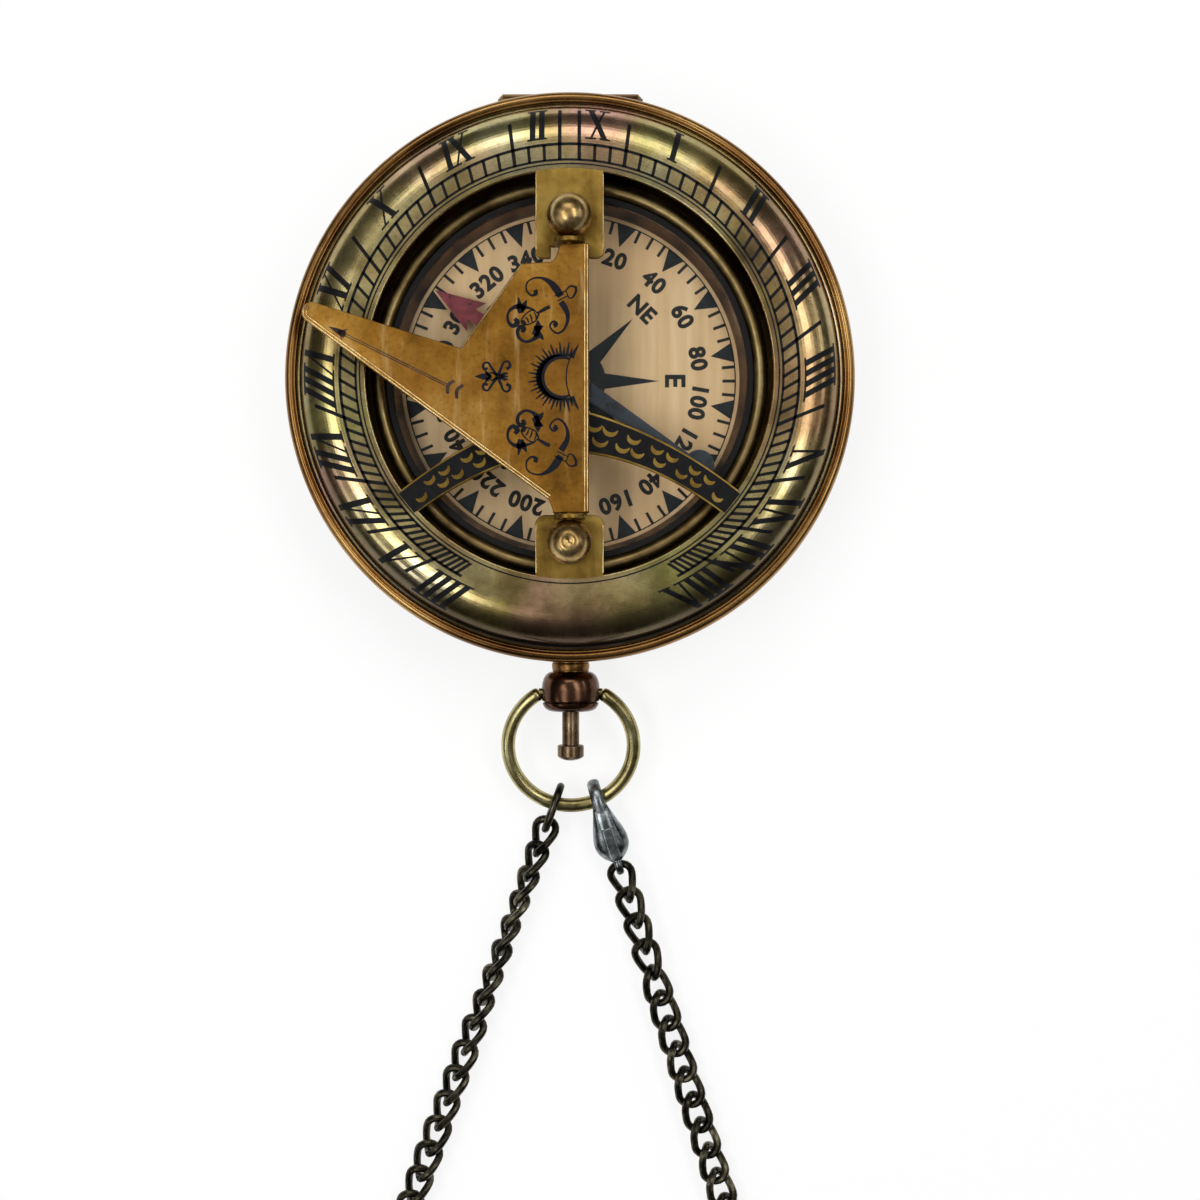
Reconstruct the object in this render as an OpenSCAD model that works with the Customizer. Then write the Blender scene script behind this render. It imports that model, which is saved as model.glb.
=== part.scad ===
// Pocket sundial compass: a hinged brass lid with a stamped hour ring and a
// folding gnomon, over a compass capsule in a round case, with a push-button
// pendant, a bow and a loop of chain. Lengths are in millimetres. The origin is
// the centre of the flat case back, +Z points out of the dial, +Y to the hinge.

/* [Case] */
// Outside diameter of the case band
band_d = 62; // [56:0.5:70]
// Wall of the band
band_wall = 1; // [0.8:0.1:1.2]
// Height of the joint between case and lid
band_top = 9.3; // [9:0.1:10.2]
// Height of the joint between back and band
back_h = 3.6; // [3.3:0.1:4]
// Thickness of the back
back_t = 1; // [0.6:0.1:1.3]
// Radius of the back's rounded edge
edge_r = 3; // [2:0.1:3.2]
// Height of the band's inner rim above the joint
skirt_h = 0.9; // [0.5:0.1:1]
// Thickness of the band's inner rim
skirt_t = 0.6; // [0.4:0.1:0.8]

/* [Lid] */
// How far the lid's rolled rim stands out beyond the band
rim_over = 0.75; // [0.5:0.05:1.2]
// Height of the rolled rim
rim_h = 2.2; // [1.9:0.1:2.5]
// Depth of the rebate that seats the hour ring
rebate_h = 1.2; // [1:0.1:1.4]
// Width of the rolled rim outside the hour ring
bead_w = 1.35; // [1.1:0.05:1.5]
// Sheet thickness of the hour ring
sheet_t = 0.6; // [0.5:0.05:0.8]
// Height of the hour ring's flat top above its seat
dome_h = 4; // [3.4:0.1:4.8]
// Width of the hour ring's dome, outside its flat top
dome_w = 4.5; // [4:0.1:5]
// Width of the hour ring's flat top
lip_w = 3.15; // [2.6:0.05:3.6]
// How far the lid opens, in degrees
lid_open = 110; // [90:1:110]

/* [Tabs and arms] */
// Width of the two pivot tabs
tab_w = 7.55; // [6.6:0.05:8.6]
// Length of the upper tab from the window's edge
tab_l = 9.75; // [9.3:0.05:10.5]
// Corner radius of the tabs
tab_r = 1.1; // [0.5:0.1:1.6]
// Top edge of the arms on the centre line, below the centre
arm_top_y = 3.6; // [2.6:0.1:5]
// Width of the arms on the centre line
arm_w = 5; // [3.5:0.1:6]
// Angle of the arms' upper corner below the X axis
arm_angle = 34.7; // [30:0.1:40]
// Angle that the arms' end takes up on the window
arm_end = 7.7; // [5:0.1:10]

/* [Gnomon] */
// Thickness of the gnomon plate
gnomon_t = 1; // [0.8:0.1:1.2]
// How far the gnomon's tip stays inside the hour ring's edge
tip_set = 1.45; // [0.9:0.05:3]
// Distance of the gnomon's tip above the centre line
gnomon_tip_y = 6.3; // [5:0.1:8]
// Tip radius of the gnomon
gnomon_tip_r = 1.1; // [0.8:0.1:1.3]
// Width of the gnomon's foot beyond its axis
foot_w = 2.15; // [1.6:0.05:2.3]
// Height of the pivot axis above the hour ring
pivot_h = 2.4; // [2.35:0.05:2.8]
// Outer face of the upper ear, beyond the upper tab's end
ear_set = 1.75; // [1.4:0.05:2.2]
// Length of the lower tab from the window's edge to its ear
low_tab_l = 6.35; // [6:0.05:6.7]
// Thickness of the ears
ear_t = 0.5; // [0.4:0.05:0.6]
// Width of the ears
ear_w = 3.4; // [3:0.1:4.2]
// Diameter of the pivot balls
ball_d = 4.9; // [4.6:0.1:5.2]
// Diameter of the gnomon's trunnions
trunnion_d = 0.9; // [0.7:0.05:0.96]

/* [Compass] */
// Gap between the bezel and the lid's window
bezel_gap = 0.25; // [0.2:0.05:0.5]
// Width of the bezel outside the compass bowl
bezel_w = 1.1; // [0.9:0.05:1.3]
// Wall of the compass bowl
bowl_wall = 0.8; // [0.6:0.05:0.9]
// Top of the compass bowl
bowl_top = 9.4; // [9.1:0.1:9.6]
// Height of the dial's printed face
dial_z = 6.8; // [6.4:0.1:7]
// Thickness of the dial card
dial_t = 0.4; // [0.3:0.1:0.6]
// Width of the sloping ring round the dial
rehaut_w = 1.25; // [1:0.05:1.5]
// Underside of the glass
glass_z = 9.6; // [9.5:0.1:9.9]
// Thickness of the glass
glass_t = 0.8; // [0.6:0.1:1]
// Height of the bezel's bead
bezel_top = 11.3; // [11.2:0.1:12]
// Gap between the needle's north tip and the sloping ring
needle_set = 0.75; // [0.4:0.05:2]
// Length of the needle's arrowhead
arrow_l = 5.6; // [5:0.1:6]
// Height of the needle above the dial
needle_h = 1.3; // [1.1:0.1:1.4]
// Thickness of the needle
needle_t = 0.3; // [0.2:0.05:0.4]
// Compass bearing of the needle's north tip
needle_bearing = 303.5; // [0:0.5:359.5]

/* [Hinge] */
// Outside diameter of the hinge barrel
barrel_d = 2.4; // [2.2:0.1:2.6]
// Length of the hinge barrel
barrel_l = 16; // [14:0.5:17]
// How far the hinge barrel stands out past the rim
barrel_out = 0.45; // [0.2:0.05:0.6]
// Length of the lid's knuckle
knuckle_l = 5.2; // [4:0.2:6]
// Diameter of the hinge pin
hinge_pin_d = 0.9; // [0.7:0.05:1.1]

/* [Pendant] */
// Height of the pendant's axis
pendant_z = 5.6; // [5.4:0.1:6]
// Diameter of the pendant's neck
neck_d = 4.1; // [3.9:0.1:4.5]
// Diameter of the pendant's ball
pendant_d = 6.6; // [6.2:0.1:7]
// Distance of the bow's axis from the band
pendant_reach = 4.3; // [4:0.1:4.6]
// Length of the ball from the neck to its end
pendant_l = 4.6; // [4.4:0.1:5]
// Diameter of the push pin
pin_d = 1.95; // [1.6:0.05:2]
// Distance of the push pin's head from the pendant's ball
pin_reach = 3.8; // [3.5:0.1:4.5]
// Diameter of the push pin's head
head_d = 3; // [2.6:0.1:3.2]
// Length of the push pin's head
head_l = 1.5; // [1.2:0.1:1.7]
// Travel of the push pin
push_travel = 1.5; // [1:0.1:1.5]

/* [Bow] */
// Radius of the bow's centre line
bow_r = 7.2; // [7:0.1:7.8]
// Diameter of the bow's wire
bow_wire_d = 1.6; // [1.3:0.05:1.7]
// Distance of the bow's centre from its axis
bow_offset = 6.4; // [6.2:0.1:6.6]
// Height of the bow's far wire above the table
bow_rest_z = 2.45; // [2.4:0.05:2.6]
// Diameter of the bow's pivots
bow_pivot_d = 1; // [0.8:0.05:1.1]

/* [Chain] */
// Pitch of the chain
chain_pitch = 3.1; // [3:0.05:3.3]
// Wire of the chain
chain_wire_d = 0.9; // [0.8:0.05:0.95]
// Outside width of the chain
chain_w = 3.55; // [3.5:0.05:3.8]
// Radius of the loop in which the chain lies
chain_loop_r = 31; // [28:0.5:33]
// Lean of the left run from the Y axis, in degrees
left_lean = 19.8; // [18:0.1:22]
// Lean of the right run from the Y axis, in degrees
right_lean = 17.4; // [16:0.1:20]
// Where the left run crosses the bow, left of the centre
left_x = 1.9; // [1.5:0.1:2.5]
// Where the clasp crosses the bow, right of the centre
right_x = 3.1; // [2.8:0.1:3.6]
// Distance from the band at which the two runs reach the table
lead_reach = 37; // [35:0.5:40]

/* [Clasp] */
// Length of the lobster clasp
clasp_l = 11.6; // [11:0.1:12]
// Height of the lobster clasp at its body
clasp_h = 4.4; // [4.2:0.1:4.5]
// Thickness of the clasp at its nose
clasp_nose_t = 1.5; // [1.4:0.1:1.8]
// Thickness of the clasp at its body
clasp_body_t = 4.1; // [3.6:0.1:4.3]

/* [Hidden] */

$fn = 96;
fit = 0.05;
gap = 0.1;
play = 0.15;

brass = "#a98a45";
dark_brass = "#7d6433";
bronze = "#7c5028";
copper = "#b07a38";
steel = "#6f706c";
gunmetal = "#5c584c";
black = "#1d1c20";
paper = "#dcbb91";
clear = "#cfe0e0";

band_r = band_d / 2;
bore_r = band_r - band_wall;
rim_r = band_r + rim_over;
skirt_r = bore_r - 0.4;
lid_z = band_top + gap;
lid_bore_r = skirt_r + play;
seat_z = lid_z + rim_h - rebate_h;
ring_r = rim_r - bead_w - fit;
flange_w = 0.35;
flat_r = ring_r - flange_w - dome_w;
lip_z = seat_z + dome_h;
window_r = flat_r - lip_w;
tab_top_y = window_r - tab_l;
ear_top_y = tab_top_y + ear_set;
ear_low_y = window_r - low_tab_l;
gnomon_reach = ring_r - tip_set;
bezel_r = window_r - bezel_gap;
bowl_outer = bezel_r - bezel_w;
bowl_r = bowl_outer - bowl_wall;
dial_r = bowl_r - rehaut_w;
needle_r = dial_r - needle_set;
bow_axis_y = band_r + pendant_reach;
lead_y = band_r + lead_reach;
snap_h = 1;
snap_t = 0.75;
inner_edge_r = edge_r - back_t;

// Points of an arc about c, from angle a0 to a1, in n steps.
function arc(c, r, a0, a1, n = 12) =
    [for (i = [0:n]) c + r * [cos(a0 + (a1 - a0) * i / n), sin(a0 + (a1 - a0) * i / n)]];

// Points of a quadratic curve from p to r that leans towards q.
function bend(p, q, r, n = 12) =
    [for (i = [0:n]) let (t = i / n) (1 - t) * (1 - t) * p + 2 * t * (1 - t) * q + t * t * r];

module ring(outer, inner, low, high) {
    translate([0, 0, low])
        difference() {
            cylinder(h = high - low, r = outer);
            translate([0, 0, -1])
                cylinder(h = high - low + 2, r = inner);
        }
}

// A cylinder along Y from y0 to y1, at height z and offset x.
module rod_y(y0, y1, r, z, x = 0) {
    translate([x, y1, z])
        rotate([90, 0, 0])
            cylinder(h = y1 - y0, r = r);
}

// A cylinder along X between -l/2 and l/2.
module rod_x(l, r) {
    rotate([0, 90, 0])
        cylinder(h = l, r = r, center = true);
}

// Case

hinge_z = band_top - gap - barrel_d / 2;
hinge_y = rim_r + barrel_out - barrel_d / 2;
hinge_inner_y = rim_r - gap - barrel_d;
notch_w = barrel_l + 2 * play;
notch_z = hinge_z - barrel_d / 2 - 1.3;
catch_w = 3;

module case_back() {
    color(bronze)
        rotate_extrude()
            polygon(concat(
                [[0, 0]],
                arc([band_r - edge_r, edge_r], edge_r, -90, 0),
                [[band_r, back_h], [bore_r - fit, back_h], [bore_r - fit, back_h + snap_h],
                 [bore_r - snap_t, back_h + snap_h]],
                arc([bore_r - snap_t - inner_edge_r, edge_r], inner_edge_r, 0, -90),
                [[0, back_t]]
            ));
}

module hinge_notch() {
    translate([-notch_w / 2, hinge_inner_y - play, notch_z])
        cube([notch_w, 3 * barrel_d, band_top]);
}

module case_band() {
    color(bronze)
        difference() {
            union() {
                ring(band_r, bore_r, back_h, band_top);
                difference() {
                    union() {
                        ring(bore_r + fit, skirt_r - skirt_t, band_top - 1.2, band_top);
                        ring(skirt_r, skirt_r - skirt_t, band_top - 1.2, band_top + skirt_h);
                    }
                    translate([-notch_w / 2, 0, 0])
                        cube([notch_w, band_r, 2 * band_top]);
                }
            }
            hinge_notch();
            rod_y(-band_r - 1, -skirt_r + 2, spigot_r + fit, pendant_z);
            translate([-catch_w / 2 - 1, -bore_r - fit, band_top - 2])
                cube([catch_w + 2, 3, 4]);
        }
}

module barrel(l, bore, chamfer = 0) {
    rotate([0, 90, 0])
        rotate_extrude()
            polygon([
                [bore, -l / 2], [barrel_d / 2 - chamfer, -l / 2], [barrel_d / 2, -l / 2 + chamfer],
                [barrel_d / 2, l / 2], [bore, l / 2]
            ]);
}

module case_knuckles() {
    side_l = (barrel_l - knuckle_l) / 2 - gap;
    color(bronze)
        difference() {
            union() {
                for (side = [0, 1])
                    translate([0, hinge_y, hinge_z])
                        mirror([side, 0, 0])
                            translate([-barrel_l / 2 + side_l / 2, 0, 0])
                                barrel(side_l, hinge_pin_d / 2, 0.4);
                difference() {
                    translate([-notch_w / 2, hinge_inner_y, notch_z])
                        cube([notch_w, hinge_y + barrel_d / 2 - 0.5 - hinge_inner_y, hinge_z - notch_z]);
                    translate([0, hinge_y, hinge_z])
                        rod_x(notch_w + 1, hinge_pin_d / 2);
                    translate([0, hinge_y, hinge_z])
                        rod_x(knuckle_l + 2 * gap, barrel_d / 2 + play);
                }
            }
            translate([0, 0, notch_z - 1])
                cylinder(h = band_top, r = bore_r - 0.9);
        }
}

module hinge_pin() {
    color(steel)
        translate([0, hinge_y, hinge_z])
            rod_x(barrel_l - 0.2, hinge_pin_d / 2);
}

// Compass capsule

bowl_floor = dial_z - dial_t - bowl_wall;
seat_rim = 1.6;
gasket_r = bowl_r + 0.25;

module bowl_seat() {
    color(dark_brass)
        union() {
            ring(bowl_outer + 2, bowl_r - 3, back_t, bowl_floor);
            ring(bowl_outer + 2, bowl_outer + fit, bowl_floor - fit, bowl_floor + seat_rim);
        }
}

module compass_bowl() {
    color(brass)
        difference() {
            translate([0, 0, bowl_floor])
                cylinder(h = bowl_top - bowl_floor, r = bowl_outer);
            translate([0, 0, dial_z - dial_t])
                cylinder(h = bowl_top, r = bowl_r);
        }
}

module dial_card() {
    color(paper)
        ring(bowl_r - fit, 1, dial_z - dial_t, dial_z);
}

post_r = 0.35;
needle_bore_r = 0.9;
cup_z = dial_z + needle_h + needle_t;

module needle_post() {
    color(steel)
        rotate_extrude()
            polygon([
                [0, dial_z - dial_t], [1 - fit, dial_z - dial_t], [1 - fit, dial_z + 0.3],
                [post_r, dial_z + 0.4], [post_r, cup_z - 0.2], [0, cup_z]
            ]);
}

module rehaut_ring() {
    color(dark_brass)
        rotate_extrude()
            polygon([
                [dial_r, dial_z], [bowl_r - fit, dial_z], [bowl_r - fit, glass_z],
                [bowl_r - 0.45, glass_z], [dial_r, dial_z + 0.3]
            ]);
}

module compass_glass() {
    color(clear, 0.4)
        translate([0, 0, glass_z])
            cylinder(h = glass_t, r = bowl_r - 2 * fit);
}

module glass_gasket() {
    color(black)
        union() {
            ring(gasket_r, bowl_r - fit, glass_z, glass_z + glass_t + 0.35);
            ring(gasket_r, bowl_r - 0.45, glass_z + glass_t, glass_z + glass_t + 0.35);
        }
}

module bezel_ring() {
    bead_r = (bezel_r - gasket_r - fit) / 2;
    foot_z = bowl_floor + seat_rim + play;
    color(brass)
        rotate_extrude()
            polygon(concat(
                [[bowl_outer + fit, foot_z], [bezel_r, foot_z]],
                arc([bezel_r - bead_r, bezel_top - bead_r], bead_r, 0, 180, 16),
                [[gasket_r + fit, bowl_top], [bowl_outer + fit, bowl_top]]
            ));
}

module needle_blade() {
    head_y = needle_r - arrow_l;
    disc_y = needle_r - 0.9;
    color(black)
        rotate([0, 0, -needle_bearing])
            translate([0, 0, dial_z + needle_h])
                difference() {
                    union() {
                        linear_extrude(height = needle_t)
                            polygon([
                                [0, needle_r], [1.9, head_y], [0.75, head_y + 0.6], [1.1, 0],
                                [0.6, -disc_y], [-0.6, -disc_y], [-1.1, 0], [-0.75, head_y + 0.6],
                                [-1.9, head_y]
                            ]);
                        cylinder(h = needle_t, r = 1.9);
                        translate([0, -disc_y, 0])
                            cylinder(h = needle_t, r = 1.7);
                    }
                    translate([0, 0, -1])
                        cylinder(h = 3, r = needle_bore_r);
                }
}

module needle_cap() {
    cap_z = dial_z + needle_h;
    shank_r = needle_bore_r - fit / 2;
    color(brass)
        difference() {
            rotate_extrude()
                polygon(concat(
                    [[0, cap_z - 0.35], [shank_r, cap_z - 0.35], [shank_r, cap_z + needle_t],
                     [1.5, cap_z + needle_t]],
                    arc([0.9, cap_z + needle_t], 0.6, 0, 90, 8),
                    [[0, cap_z + needle_t + 0.6]]
                ));
            translate([0, 0, cap_z - 1])
                cylinder(h = cup_z - cap_z + 1.1, r = post_r + fit);
        }
}

// Pendant and push button

spigot_r = 1.6;
chamber_r = 1.45;
guide_r = pin_d / 2 + fit;
chamber_y = band_r + 0.2;
neck_end = bow_axis_y - 2.4;
ball_end = neck_end + pendant_l;
pin_head_y = ball_end + pin_reach;
cap_t = 0.6;
collar_y = ball_end - cap_t;
collar_t = 0.6;
pin_start = skirt_r - 0.75;

module pendant_neck() {
    color(copper)
        difference() {
            union() {
                difference() {
                    rod_y(-neck_end, -band_r + 1, neck_d / 2, pendant_z);
                    translate([0, 0, -1])
                        cylinder(h = band_top + 2, r = band_r);
                }
                rod_y(-band_r - 0.5, -bore_r, spigot_r, pendant_z);
            }
            rod_y(-neck_end - 1, -chamber_y, chamber_r, pendant_z);
            rod_y(-chamber_y - 1, -bore_r + 1, guide_r, pendant_z);
        }
}

module pendant_ball() {
    r = pendant_d / 2;
    half = bow_axis_y - neck_end;
    color(bronze)
        difference() {
            translate([0, -neck_end, pendant_z])
                rotate([90, 0, 0])
                    rotate_extrude()
                        polygon(concat(
                            [[chamber_r, 0], [neck_d / 2 + 0.25, 0]],
                            bend([neck_d / 2 + 0.25, 0], [r - 0.2, 0.4], [r, half - 0.9], 6),
                            [[r, half + 0.9], [r - 0.25, half + 1.1], [r - 0.15, half + 1.3]],
                            bend([r - 0.15, half + 1.3], [r - 0.5, pendant_l], [chamber_r + 0.4, pendant_l], 6),
                            [[guide_r, pendant_l], [guide_r, pendant_l - cap_t], [chamber_r, pendant_l - cap_t]]
                        ));
            for (side = [-1, 1])
                translate([side * (r + 0.3), -bow_axis_y, pendant_z])
                    rod_x(2 * (r - chamber_r - 0.35), bow_pivot_d / 2 + fit);
        }
}

module push_pin() {
    color(bronze)
        union() {
            rod_y(-pin_head_y, -pin_start, pin_d / 2, pendant_z);
            rod_y(-collar_y + fit, -collar_y + collar_t, chamber_r - fit, pendant_z);
        }
}

module push_head() {
    color(bronze)
        translate([0, -pin_head_y, pendant_z])
            rotate([90, 0, 0])
                rotate_extrude()
                    polygon(concat(
                        [[0, 0], [head_d / 2 - 0.15, 0], [head_d / 2, 0.15], [head_d / 2, head_l - 0.2]],
                        bend([head_d / 2, head_l - 0.2], [head_d / 4, head_l + 0.3], [0, head_l + 0.3], 6)
                    ));
}

// A wire wound along Z: turns of radius r over length l.
module coil(r, wire, l, turns, steps = 12, sides = 6) {
    n = turns * steps;
    points = [
        for (i = [0:n], j = [0:sides - 1])
            let (
                a = 360 * i / steps,
                b = 360 * j / sides,
                out = r + wire / 2 * cos(b)
            )
            [out * cos(a), out * sin(a), wire / 2 + (l - wire) * i / n + wire / 2 * sin(b)]
    ];
    walls = [
        for (i = [0:n - 1], j = [0:sides - 1], half = [0, 1])
            let (
                k = (j + 1) % sides,
                a = i * sides + j,
                b = i * sides + k,
                c = (i + 1) * sides + k,
                d = (i + 1) * sides + j
            )
            half == 0 ? [a, b, c] : [a, c, d]
    ];
    ends = [
        for (j = [1:sides - 2]) each [
            [0, j + 1, j],
            [n * sides, n * sides + j, n * sides + j + 1]
        ]
    ];
    polyhedron(points, concat(walls, ends));
}

button_wire = 0.25;
spring_l = collar_y - collar_t - push_travel - chamber_y - fit;

module button_spring() {
    color(steel)
        translate([0, -chamber_y, pendant_z])
            rotate([90, 0, 0])
                coil((guide_r + chamber_r) / 2, button_wire, spring_l, 6);
}

// Latch and lift springs, on posts on the case back

latch_from = 205;
lift_from = 20;
strip_r = bore_r - 1.9;
strip_t = 0.5;
strip_z = 4.9;
strip_h = 1.8;
eye_r = 1.5;
screw_d = 1.2;
post_d = 2.4;
post_radius = bore_r - snap_t - inner_edge_r - post_d / 2;
screw_z = strip_z + 0.6;
foot_l = 2.6;
lift_w = 2.2;

// Places its children on a post at an angle about the case's centre.
module at_post(angle) {
    translate([post_radius * cos(angle), post_radius * sin(angle), 0])
        rotate([0, 0, angle])
            children();
}

module spring_posts() {
    color(brass)
        for (angle = [latch_from, lift_from])
            at_post(angle)
                ring(post_d / 2, screw_d / 2, back_t, strip_z - gap);
}

module spring_screws() {
    color(steel)
        for (angle = [latch_from, lift_from])
            at_post(angle)
                difference() {
                    union() {
                        translate([0, 0, back_t])
                            cylinder(h = screw_z - back_t, r = screw_d / 2);
                        translate([0, 0, screw_z])
                            cylinder(h = 0.6, r = screw_d);
                    }
                    translate([-screw_d - 1, -0.15, screw_z + 0.35])
                        cube([2 * screw_d + 2, 0.3, 1]);
                }
}

// A strip on edge along the case wall, from angle a0 to a1, whose foot at a0
// is an eye between the heights low and high.
module strip(a0, a1, low, high) {
    difference() {
        union() {
            translate([0, 0, strip_z])
                rotate([0, 0, min(a0, a1)])
                    rotate_extrude(angle = abs(a1 - a0))
                        translate([strip_r, 0])
                            square([strip_t, strip_h]);
            at_post(a0)
                translate([0, 0, low]) {
                    cylinder(h = high - low, r = eye_r);
                    translate([0, -0.8, 0])
                        cube([strip_r + strip_t / 2 - post_radius, 1.6, high - low]);
                }
        }
        at_post(a0)
            cylinder(h = band_top, r = screw_d / 2 + fit);
    }
}

latch_face = pin_start - gap;
ledge_y = latch_face + 0.2;
ledge_z = lid_z - 0.6;

module latch_spring() {
    root_y = strip_r - 0.4;
    neck_y = latch_face - 0.4;
    color(steel)
        union() {
            strip(latch_from, 270, strip_z, screw_z - gap);
            rotate([90, 0, 90])
                linear_extrude(height = foot_l, center = true)
                    polygon([
                        [-root_y, strip_z], [-latch_face, strip_z], [-latch_face, pendant_z + pin_d / 2 + 0.4],
                        [-neck_y, pendant_z + pin_d / 2 + 0.8], [-neck_y, ledge_z + gap],
                        [-ledge_y + gap, ledge_z + gap], [-ledge_y + gap, ledge_z + 0.4],
                        [-neck_y, ledge_z + 1.2], [-root_y, ledge_z + 1.2]
                    ]);
        }
}

module lift_spring() {
    color(steel)
        union() {
            strip(lift_from, 90, strip_z - gap, screw_z);
            translate([0.2 - lift_w, strip_r, strip_z])
                cube([lift_w, strip_t, hinge_z - strip_z - play]);
        }
}

// Lid

module lid_rim() {
    r = rim_r;
    top = lid_z + rim_h;
    inner = r - bead_w;
    color(bronze)
        rotate_extrude()
            polygon(concat(
                [[lid_bore_r, lid_z]],
                bend([r - 0.55, lid_z], [r, lid_z + 0.1], [r, lid_z + 1], 8),
                bend([r, lid_z + 1], [r, top], [r - 0.75, top], 8),
                bend([r - 0.75, top], [inner, top], [inner, top - 0.35], 6),
                [[inner, seat_z], [lid_bore_r, seat_z]]
            ));
}

dome_z = seat_z + 0.55;
dome_b = lip_z - dome_z;
sheet_z = lip_z - sheet_t;

// Section of the stamped ring: flat lip, dome and outer flange.
function dome_profile(n = 14) = concat(
    [[window_r, sheet_z], [window_r, lip_z]],
    [for (i = [n:-1:0]) [flat_r, dome_z] + [dome_w * cos(90 * i / n), dome_b * sin(90 * i / n)]],
    [[ring_r, dome_z], [ring_r, seat_z]],
    [for (i = [0:n])
        [flat_r, seat_z] + [(dome_w - sheet_t) * cos(90 * i / n), (sheet_z - seat_z) * sin(90 * i / n)]]
);

module tab_outline(end_y, sign) {
    w = tab_w / 2;
    polygon(concat(
        [[-w, sign * (window_r + 0.8)], [w, sign * (window_r + 0.8)]],
        sign > 0 ? arc([w - tab_r, end_y + tab_r], tab_r, 0, -90, 6)
                 : arc([w - tab_r, end_y - tab_r], tab_r, 0, 90, 6),
        sign > 0 ? arc([-w + tab_r, end_y + tab_r], tab_r, -90, -180, 6)
                 : arc([-w + tab_r, end_y - tab_r], tab_r, 90, 180, 6)
    ));
}

module arm_outline() {
    r = window_r + 0.8;
    low = arm_angle + arm_end;
    top_end = r * [cos(arm_angle), -sin(arm_angle)];
    low_end = r * [cos(low), -sin(low)];
    top_mid = [0, -arm_top_y];
    low_mid = [0, -arm_top_y - arm_w];
    polygon(concat(
        bend(top_mid, [top_end[0] * 0.55, -arm_top_y - 2.6], top_end),
        bend(low_end, [low_end[0] * 0.5, -arm_top_y - arm_w - 0.4], low_mid)
    ));
}

module ear(face_y, sign) {
    top = pivot_h + ear_w / 2;
    translate([0, sign > 0 ? face_y : -face_y + ear_t, sheet_z])
        rotate([90, 0, 0])
            linear_extrude(height = ear_t)
                difference() {
                    union() {
                        translate([-ear_w / 2, 0])
                            square([ear_w, sheet_t + pivot_h]);
                        translate([0, sheet_t + pivot_h])
                            circle(r = ear_w / 2);
                    }
                    translate([0, sheet_t + pivot_h])
                        circle(r = trunnion_d / 2 + fit);
                }
}

tongue_l = 5;
tongue_w = 5.2;

module hour_ring() {
    color(brass)
        union() {
            rotate_extrude($fn = 180)
                polygon(dome_profile());
            difference() {
                translate([0, 0, sheet_z])
                    linear_extrude(height = sheet_t) {
                        tab_outline(tab_top_y, 1);
                        tab_outline(-ear_low_y + ear_t, -1);
                        arm_outline();
                        mirror([1, 0])
                            arm_outline();
                    }
                translate([-2.05, 0, sheet_z - 1])
                    cube([4.1, ear_top_y - ear_t, 3]);
                translate([0, ear_top_y + ball_d / 2, sheet_z - 1])
                    cylinder(h = 3, r = 1.4);
                translate([-tongue_w / 2, -ear_low_y - tongue_l, sheet_z - 1])
                    cube([tongue_w, tongue_l, 3]);
            }
            ear(ear_top_y, 1);
            ear(ear_low_y, -1);
        }
}

module lid_knuckle() {
    color(bronze)
        union() {
            translate([0, hinge_y, hinge_z])
                barrel(knuckle_l, hinge_pin_d / 2 + fit);
            difference() {
                translate([-knuckle_l / 2, hinge_y - 0.6, hinge_z])
                    cube([knuckle_l, 1.2, lid_z - hinge_z]);
                translate([0, hinge_y, hinge_z])
                    rod_x(knuckle_l + 1, barrel_d / 2 - 0.3);
            }
            translate([-knuckle_l / 2 + 0.1, strip_r, hinge_z + 0.1])
                difference() {
                    cube([knuckle_l - 0.2, hinge_y - strip_r, 0.7]);
                    translate([-1, hinge_y - strip_r, -0.1])
                        rotate([0, 90, 0])
                            cylinder(h = knuckle_l + 2, r = barrel_d / 2 - 0.3);
                }
        }
}

module lid_catch() {
    color(steel)
        intersection() {
            ring(lid_bore_r, ledge_y - 1, ledge_z - 0.5, seat_z, $fn = 720);
            union() {
                translate([-catch_w / 2, -lid_bore_r - 1, ledge_z - 0.5])
                    cube([catch_w, 1.5, 4]);
                translate([-catch_w / 2, -lid_bore_r - 1, ledge_z - 0.5])
                    cube([catch_w, lid_bore_r + 1 - ledge_y, 0.5]);
            }
        }
}

// Gnomon

pivot_z = lip_z + pivot_h;
grip = 1.7;
stub_top = ear_top_y - ear_t - gap;
stub_low = -ear_low_y + ear_t + gap;

module gnomon() {
    tip = [-gnomon_reach + gnomon_tip_r, gnomon_tip_y];
    low = [-2.3, stub_low + 1.5];
    crook = [-gnomon_reach * 0.408, 2.4];
    shoulder = [-5.2, stub_top - 2.2];
    style_angle = atan2(tip[1] - low[1], low[0] - tip[0]);
    crook_angle = atan2(tip[1] - crook[1], crook[0] - tip[0]);
    color(copper)
        union() {
            translate([0, 0, pivot_z - gnomon_t / 2])
                linear_extrude(height = gnomon_t)
                    polygon(concat(
                        [[foot_w, stub_low], [foot_w, stub_top], [-0.7, stub_top]],
                        bend([-1.1, stub_top - 0.3], [-1.3, stub_top - 2], [-2.2, stub_top - 2.05], 6),
                        [shoulder, crook],
                        arc(tip, gnomon_tip_r, 90 - crook_angle, 270 - style_angle, 12),
                        bend(low, [-1.9, stub_low + 0.9], [-1.7, stub_low], 6)
                    ));
            rod_y(stub_top - 0.2, ear_top_y + fit + grip, trunnion_d / 2, pivot_z);
            rod_y(-ear_low_y - fit - grip, stub_low + 0.2, trunnion_d / 2, pivot_z);
        }
}

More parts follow.
